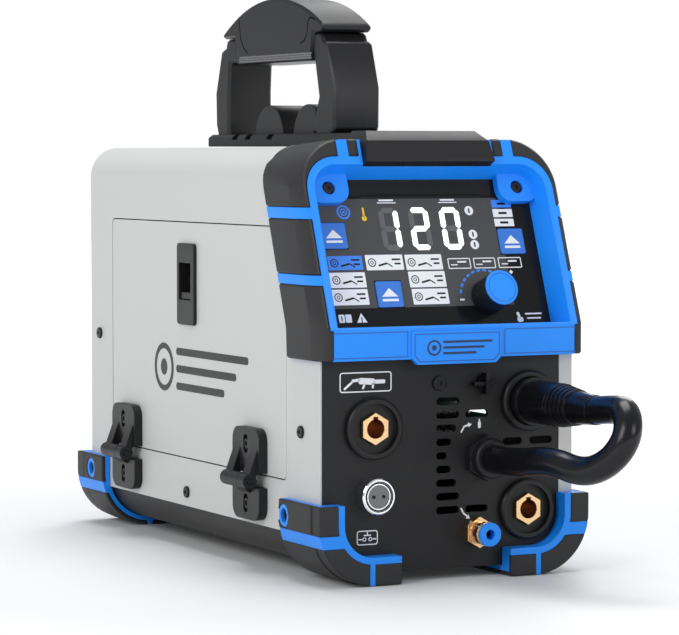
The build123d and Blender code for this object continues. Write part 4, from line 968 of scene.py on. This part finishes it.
class WELDER_OT_display(bpy.types.Operator):
    """Display plate's printed field, labels, lit digits and dial marks."""

    bl_idname = "welder.display"
    bl_label = "Display"

    def execute(self, context):
        field = Sketch("display_field", "lens")
        for patch in FIELD_PATCHES:
            field.span(*patch)
        field.close("display_field", PRINT_LIFT)
        strip = Sketch("display_top_strip", "lens")
        strip.span(-54.0, 54.0, 97.4, 112.0, 2.0).tile(0, 97.0, 92.0, 3.0, 1.2, 1)
        strip.close("dark_print", SECOND_PRINT_LIFT)
        self.add_labels()
        self.add_digits()
        self.add_dial()
        for name in KEYS:
            self.add_key_mark(name)
        return {"FINISHED"}

    def add_labels(self):
        """Labels with their pictograms, boxes, dots and warning marks."""
        white = Sketch("display_labels", "lens", PRINT_LIFT)
        for x0, x1, y0, y1 in LABELS_WHITE:
            white.span(x0, x1, y0, y1, 0.5, 2)
        for y0, y1 in SIDE_LABELS:
            white.span(*SIDE_LABEL_ACROSS, y0, y1, 0.4, 2)
        for x0, x1 in BOXES:
            white.frame(x0, x1, *BOX_UP, 0.7)
            middle = (x0 + x1) / 2
            white.tile(middle + 2, 50.2, 7.0, 1.2, 0.4, 2).tile(middle - 4, 48.2, 5.0, 0.8, 0.3, 2)
        for place in UNIT_DOTS:
            white.disc(*place, 3.3)
        white.tiles(DISPLAY_STROKES).disc(*WARNING_SIGN, 4.4, 3)
        white.close("white_print")
        blue = Sketch("display_blue_labels", "lens", PRINT_LIFT)
        blue.span(*LABEL_BLUE, 0.5, 2)
        blue.span(*SIDE_LABEL_ACROSS, *SIDE_LABEL_BLUE, 0.4, 2)
        blue.ring(*COIL_MARK, 5.0, 1.3).ring(*COIL_MARK, 2.6, 0.8).disc(*COIL_MARK, 0.9)
        blue.close("blue_print")
        dark = Sketch("display_label_marks", "lens", SECOND_PRINT_LIFT)
        for label in (*LABELS_WHITE, LABEL_BLUE):
            draw_process_icon(dark, *label)
        for y0, y1 in (*SIDE_LABELS, SIDE_LABEL_BLUE):
            dark.tile(sum(SIDE_LABEL_ACROSS) / 2, (y0 + y1) / 2, 6.5, 1.6, 0.5, 2)
        for place in UNIT_DOTS:
            dark.tile(*place, 1.1, 3.4, 0.4, 2)
        x, y = WARNING_SIGN
        dark.tile(x, y + 0.3, 0.8, 2.8, 0.3, 2).disc(x, y - 1.7, 0.5, 12)
        dark.tile(-74.6, 12.4, 0.8, 3.4, 0.3, 2)
        dark.close("dark_print")
        yellow = Sketch("display_heat_mark", "lens", PRINT_LIFT)
        x, y = HEAT_MARK
        yellow.tile(x, y + 4.2, 1.5, 7.0, 0.7, 3).disc(x, y, 1.9)
        yellow.close("yellow_print")

    def add_digits(self):
        """Lit and unlit segments of the three digits."""
        for name, finish, lighted in (("lit", "digit_on", True), ("unlit", "digit_off", False)):
            sketch = Sketch("display_digits_" + name, "lens", PRINT_LIFT)
            for (x0, x1), letters in DIGITS:
                for letter, place in segment_places(x0, x1, *DIGIT_UP).items():
                    if (letter in letters) == lighted:
                        sketch.tile(*place, SEGMENT * 0.36, 1)
            sketch.close(finish)

    def add_dial(self):
        """Dashes round the knob, the marks at their ends and a ring of painted shade at the rim of the knob's
        cap.
        """
        x, y = DIAL
        dial = Sketch("dial_dashes", "lens", PRINT_LIFT)
        for step in range(DIAL_DASHES):
            angle = DIAL_START - DIAL_STEP * step
            place = (x + DIAL_RADIUS * cos(radians(angle)), y + DIAL_RADIUS * sin(radians(angle)))
            dial.tile(*place, 1.7, 3.0, 0.5, 2, angle)
        dial.close("blue_print")
        ends = Sketch("dial_ends", "lens", PRINT_LIFT)
        ends.tile(17.6, 23.6, 3.4, 1.2).tile(58.6, 42.4, 2.2, 2.2, 0, 1, 45)
        ends.close("white_print")
        # thin dark blue ring on the cap's face: painted shade at the edge of the cap's sunk face
        rim = Sketch("knob_cap_painted_shade_rim", "lens", KNOB_FACE)
        rim.ring(x, y, CAP_RIM_RADIUS, 0.5, 64).close("painted_shade_blue", slot="blue_plastic", body="knob")

    def add_key_mark(self, name):
        """Triangle over a bar on one push key."""
        low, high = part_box(name)
        x, y = hood_place((low + high) / 2)
        mark = Sketch(name + "_mark", "lens", KEY_PROUD)
        mark.arrowhead(x, y - 1.2, 12.0, 6.0).tile(x, y - 3.6, 12.0, 1.7, 0.3, 2)
        mark.close("white_print", slot="key_blue", body=name)


class WELDER_OT_panel_marks(bpy.types.Operator):
    """Pictograms on the front panel, stripes on the door and the relief of the band and name plate, lined in
    darker blue as painted shade.
    """

    bl_idname = "welder.panel_marks"
    bl_label = "Panel marks"

    def execute(self, context):
        torch = Sketch("torch_mark", "panel")
        torch.frame(-80.9, -42.7, 126.7, 140.0, 0.8, 2.0)
        torch.tiles(TORCH_STROKES).close("white_print")
        switch = Sketch("switch_mark", "panel")
        switch.frame(-68.3, -52.8, 26.0, 35.6, 0.7, 1.8)
        for place in SWITCH_CONTACTS:
            switch.ring(*place, 1.4, 0.6, 20)
        switch.tiles(SWITCH_STROKES).close("white_print")
        arrows = Sketch("flow_arrows", "panel")
        for x, y, turn in ARROW_TIPS:
            arrows.disc(x, y, 1.9, 3, turn)
        arrows.tiles(ARROW_STROKES).close("white_print")
        self.add_coil_mark("door", 0.0, 128.5, 1.0, "dark_print", "door")
        self.add_coil_mark("plate", 0.0, 155.2, 0.3, "navy_print", "case")
        # raised beads of the band and the name plate's border: real relief, coloured darker blue as painted
        # shade along them
        relief = Sketch("band_beads", "band")
        for ends in BEADS_ACROSS:
            relief.frame(*ends, *BEADS_UP, 0.7, 0.6)
        relief.close("painted_shade_blue", RELIEF)
        border = Sketch("name_plate_border", "plate")
        border.lower_cut(-32.0, 32.0, 146.0, 164.8, 4.0, 0.7)
        border.close("painted_shade_blue", RELIEF)
        return {"FINISHED"}

    def add_coil_mark(self, face, x, y, size, finish, body):
        """Generic mark: a wire coil and three stripes that run off it."""
        mark = Sketch(face + "_mark", face)
        mark.ring(x - 58 * size, y, 17.5 * size, 4.2 * size, 48).disc(x - 58 * size, y, 6.0 * size)
        for row, length in ((-1, 84.0), (0, 104.0), (1, 124.0)):
            centre = x + (-36 + length / 2) * size
            mark.tile(centre, y + row * 12.5 * size, length * size, 5.4 * size, 2.6 * size, 6)
        mark.close(finish, body=body)


class WELDER_OT_fittings(bpy.types.Operator):
    """Turned rings on the trigger socket and the trim rings of the gas outlet."""

    bl_idname = "welder.fittings"
    bl_label = "Fittings"

    # name, face, lift, radius, width, finish and height, in millimetres
    RINGS = (
        ("trigger_groove", "trigger", 0.0, 9.4, 0.6, "seam_shadow", None),
        ("trigger_step", "trigger", 0.0, 8.6, 0.8, "chrome", 0.5),
        ("gas_ring_steel", "gas", 8.6, 8.1, 0.5, "chrome", 1.4),
        ("gas_ring_black", "gas", 7.0, 7.9, 0.3, "seam_shadow", 1.5),
    )

    def execute(self, context):
        for name, face, lift, radius, line, finish, height in self.RINGS:
            Sketch(name, face, lift).ring(0, 0, radius, line, 40).close(finish, height)
        return {"FINISHED"}


class WELDER_OT_hinge_screws(bpy.types.Operator):
    """Screws that hold the hinge leaves to the door and the cover."""

    bl_idname = "welder.hinge_screws"
    bl_label = "Hinge screws"

    def execute(self, context):
        low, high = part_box("hinge_pins")
        ends = (low.y + HINGE_PIN_LENGTH / 2, high.y - HINGE_PIN_LENGTH / 2)
        for y, place in zip(ends, ("front", "rear")):
            for z, body in ((DOOR_SCREW_Z, "door"), (CASE_SCREW_Z, "case")):
                self.add_screw(f"hinge_screw_{body}_{place}", y, z, body)
        return {"FINISHED"}

    def add_screw(self, name, y, z, body):
        """Screw head with a sunk middle, on the floor of a hinge pocket."""
        radius = bpy.context.scene.welder_sizes.screw_diameter / 2
        clear_selection()
        bpy.ops.mesh.primitive_cylinder_add(vertices=24, radius=radius, depth=SCREW_HEAD_HEIGHT,
                                            location=(HINGE_POCKET_X - SCREW_HEAD_HEIGHT / 2, y, z),
                                            rotation=(0, radians(-90), 0))
        screw = bpy.context.object
        screw.name = name
        bpy.ops.object.mode_set(mode="EDIT")
        bpy.ops.mesh.select_mode(type="FACE")
        mesh = bmesh.from_edit_mesh(screw.data)
        for face in mesh.faces:
            face.select = face.normal.z > 0.9
        bpy.ops.mesh.inset(thickness=radius * 0.5)
        bpy.ops.mesh.extrude_region_move(TRANSFORM_OT_translate={"value": (SCREW_RECESS, 0, 0)})
        bpy.ops.object.mode_set(mode="OBJECT")
        apply_modifier(screw, "BEVEL", width=0.25 * MM, segments=2, limit_method="ANGLE")
        settle(screw)
        smooth(screw)
        dress(screw, "screw_black", body)


class WELDER_OT_grip(bpy.types.Operator):
    """Non-slip strips and seams on both sides of the grip."""

    bl_idname = "welder.grip"
    bl_label = "Grip"

    def execute(self, context):
        for face, side in (("grip_left", -1), ("grip_right", 1)):
            strip = Sketch("knurl_" + face, face)
            for row in range(KNURL_ROWS):
                for step in range(KNURL_COUNT):
                    y = KNURL_START + (step + 0.5 * (row % 2)) * KNURL_PITCH
                    strip.tile(side * y, KNURL_Z + KNURL_ROW_STEP * row, KNURL_STUD, KNURL_STUD, turn=45)
            strip.close("knurl_sheen", KNURL_PROUD)
            seam = Sketch("seams_" + face, face)
            for points in GRIP_SEAMS:
                seam.path([(side * y, z) for y, z in points], SEAM_WIDTH)
            seam.close("seam_shadow")
        return {"FINISHED"}


class WELDER_OT_knob(bpy.types.Operator):
    """Ribbed body of the control knob."""

    bl_idname = "welder.knob"
    bl_label = "Knob"

    def execute(self, context):
        low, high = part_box("knob_body")
        centre = (low + high) / 2
        clear_selection()
        bpy.ops.mesh.primitive_cylinder_add(vertices=KNOB_SIDES, radius=KNOB_RADIUS, depth=KNOB_LENGTH)
        knob = context.object
        knob.name = "knob_body_ribbed"
        bpy.ops.object.mode_set(mode="EDIT")
        bpy.ops.mesh.select_mode(type="VERT")
        mesh = bmesh.from_edit_mesh(knob.data)
        for vertex in mesh.verts:
            step = round(vertex.co.xy.angle_signed(Vector((1, 0))) / (2 * pi / KNOB_SIDES))
            vertex.select = step % KNOB_SIDES_PER_RIB == 0
        mesh.select_flush_mode()
        bpy.ops.transform.resize(value=(KNOB_GROOVE, KNOB_GROOVE, 1), center_override=(0, 0, 0))
        bpy.ops.object.mode_set(mode="OBJECT")
        turn = OUT_OF_HOOD.to_track_quat("Z", "Y").to_matrix().to_4x4()
        knob.matrix_world = Matrix.Translation(centre) @ turn
        settle(knob)
        smooth(knob, 50)
        dress(knob, "black_plastic", "knob")
        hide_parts("knob_body")
        return {"FINISHED"}


class WELDER_PT_panel(bpy.types.Panel):
    """List of the operators that build the machine."""

    bl_label = "Welder"
    bl_idname = "WELDER_PT_panel"
    bl_space_type = "VIEW_3D"
    bl_region_type = "UI"
    bl_category = "Welder"

    def draw(self, context):
        for operator in OPERATORS:
            self.layout.operator(operator.bl_idname)
        for group in (context.scene.welder_sizes, context.scene.welder_colours):
            for name in group.__annotations__:
                self.layout.prop(group, name)


OPERATORS = (
    WELDER_OT_finishes,
    WELDER_OT_polarity_lead,
    WELDER_OT_housings,
    WELDER_OT_display,
    WELDER_OT_panel_marks,
    WELDER_OT_fittings,
    WELDER_OT_hinge_screws,
    WELDER_OT_grip,
    WELDER_OT_knob,
    WELDER_OT_stage,
)
CLASSES = (WelderSizes, WelderColours, *OPERATORS, WELDER_PT_panel)


def register():
    for item in CLASSES:
        bpy.utils.register_class(item)
    bpy.types.Scene.welder_sizes = bpy.props.PointerProperty(type=WelderSizes)
    bpy.types.Scene.welder_colours = bpy.props.PointerProperty(type=WelderColours)


def unregister():
    del bpy.types.Scene.welder_colours
    del bpy.types.Scene.welder_sizes
    for item in reversed(CLASSES):
        bpy.utils.unregister_class(item)


def main():
    register()
    for operator in OPERATORS:
        group, name = operator.bl_idname.split(".")
        getattr(getattr(bpy.ops, group), name)()
    clear_selection()


if __name__ == "__main__":
    main()
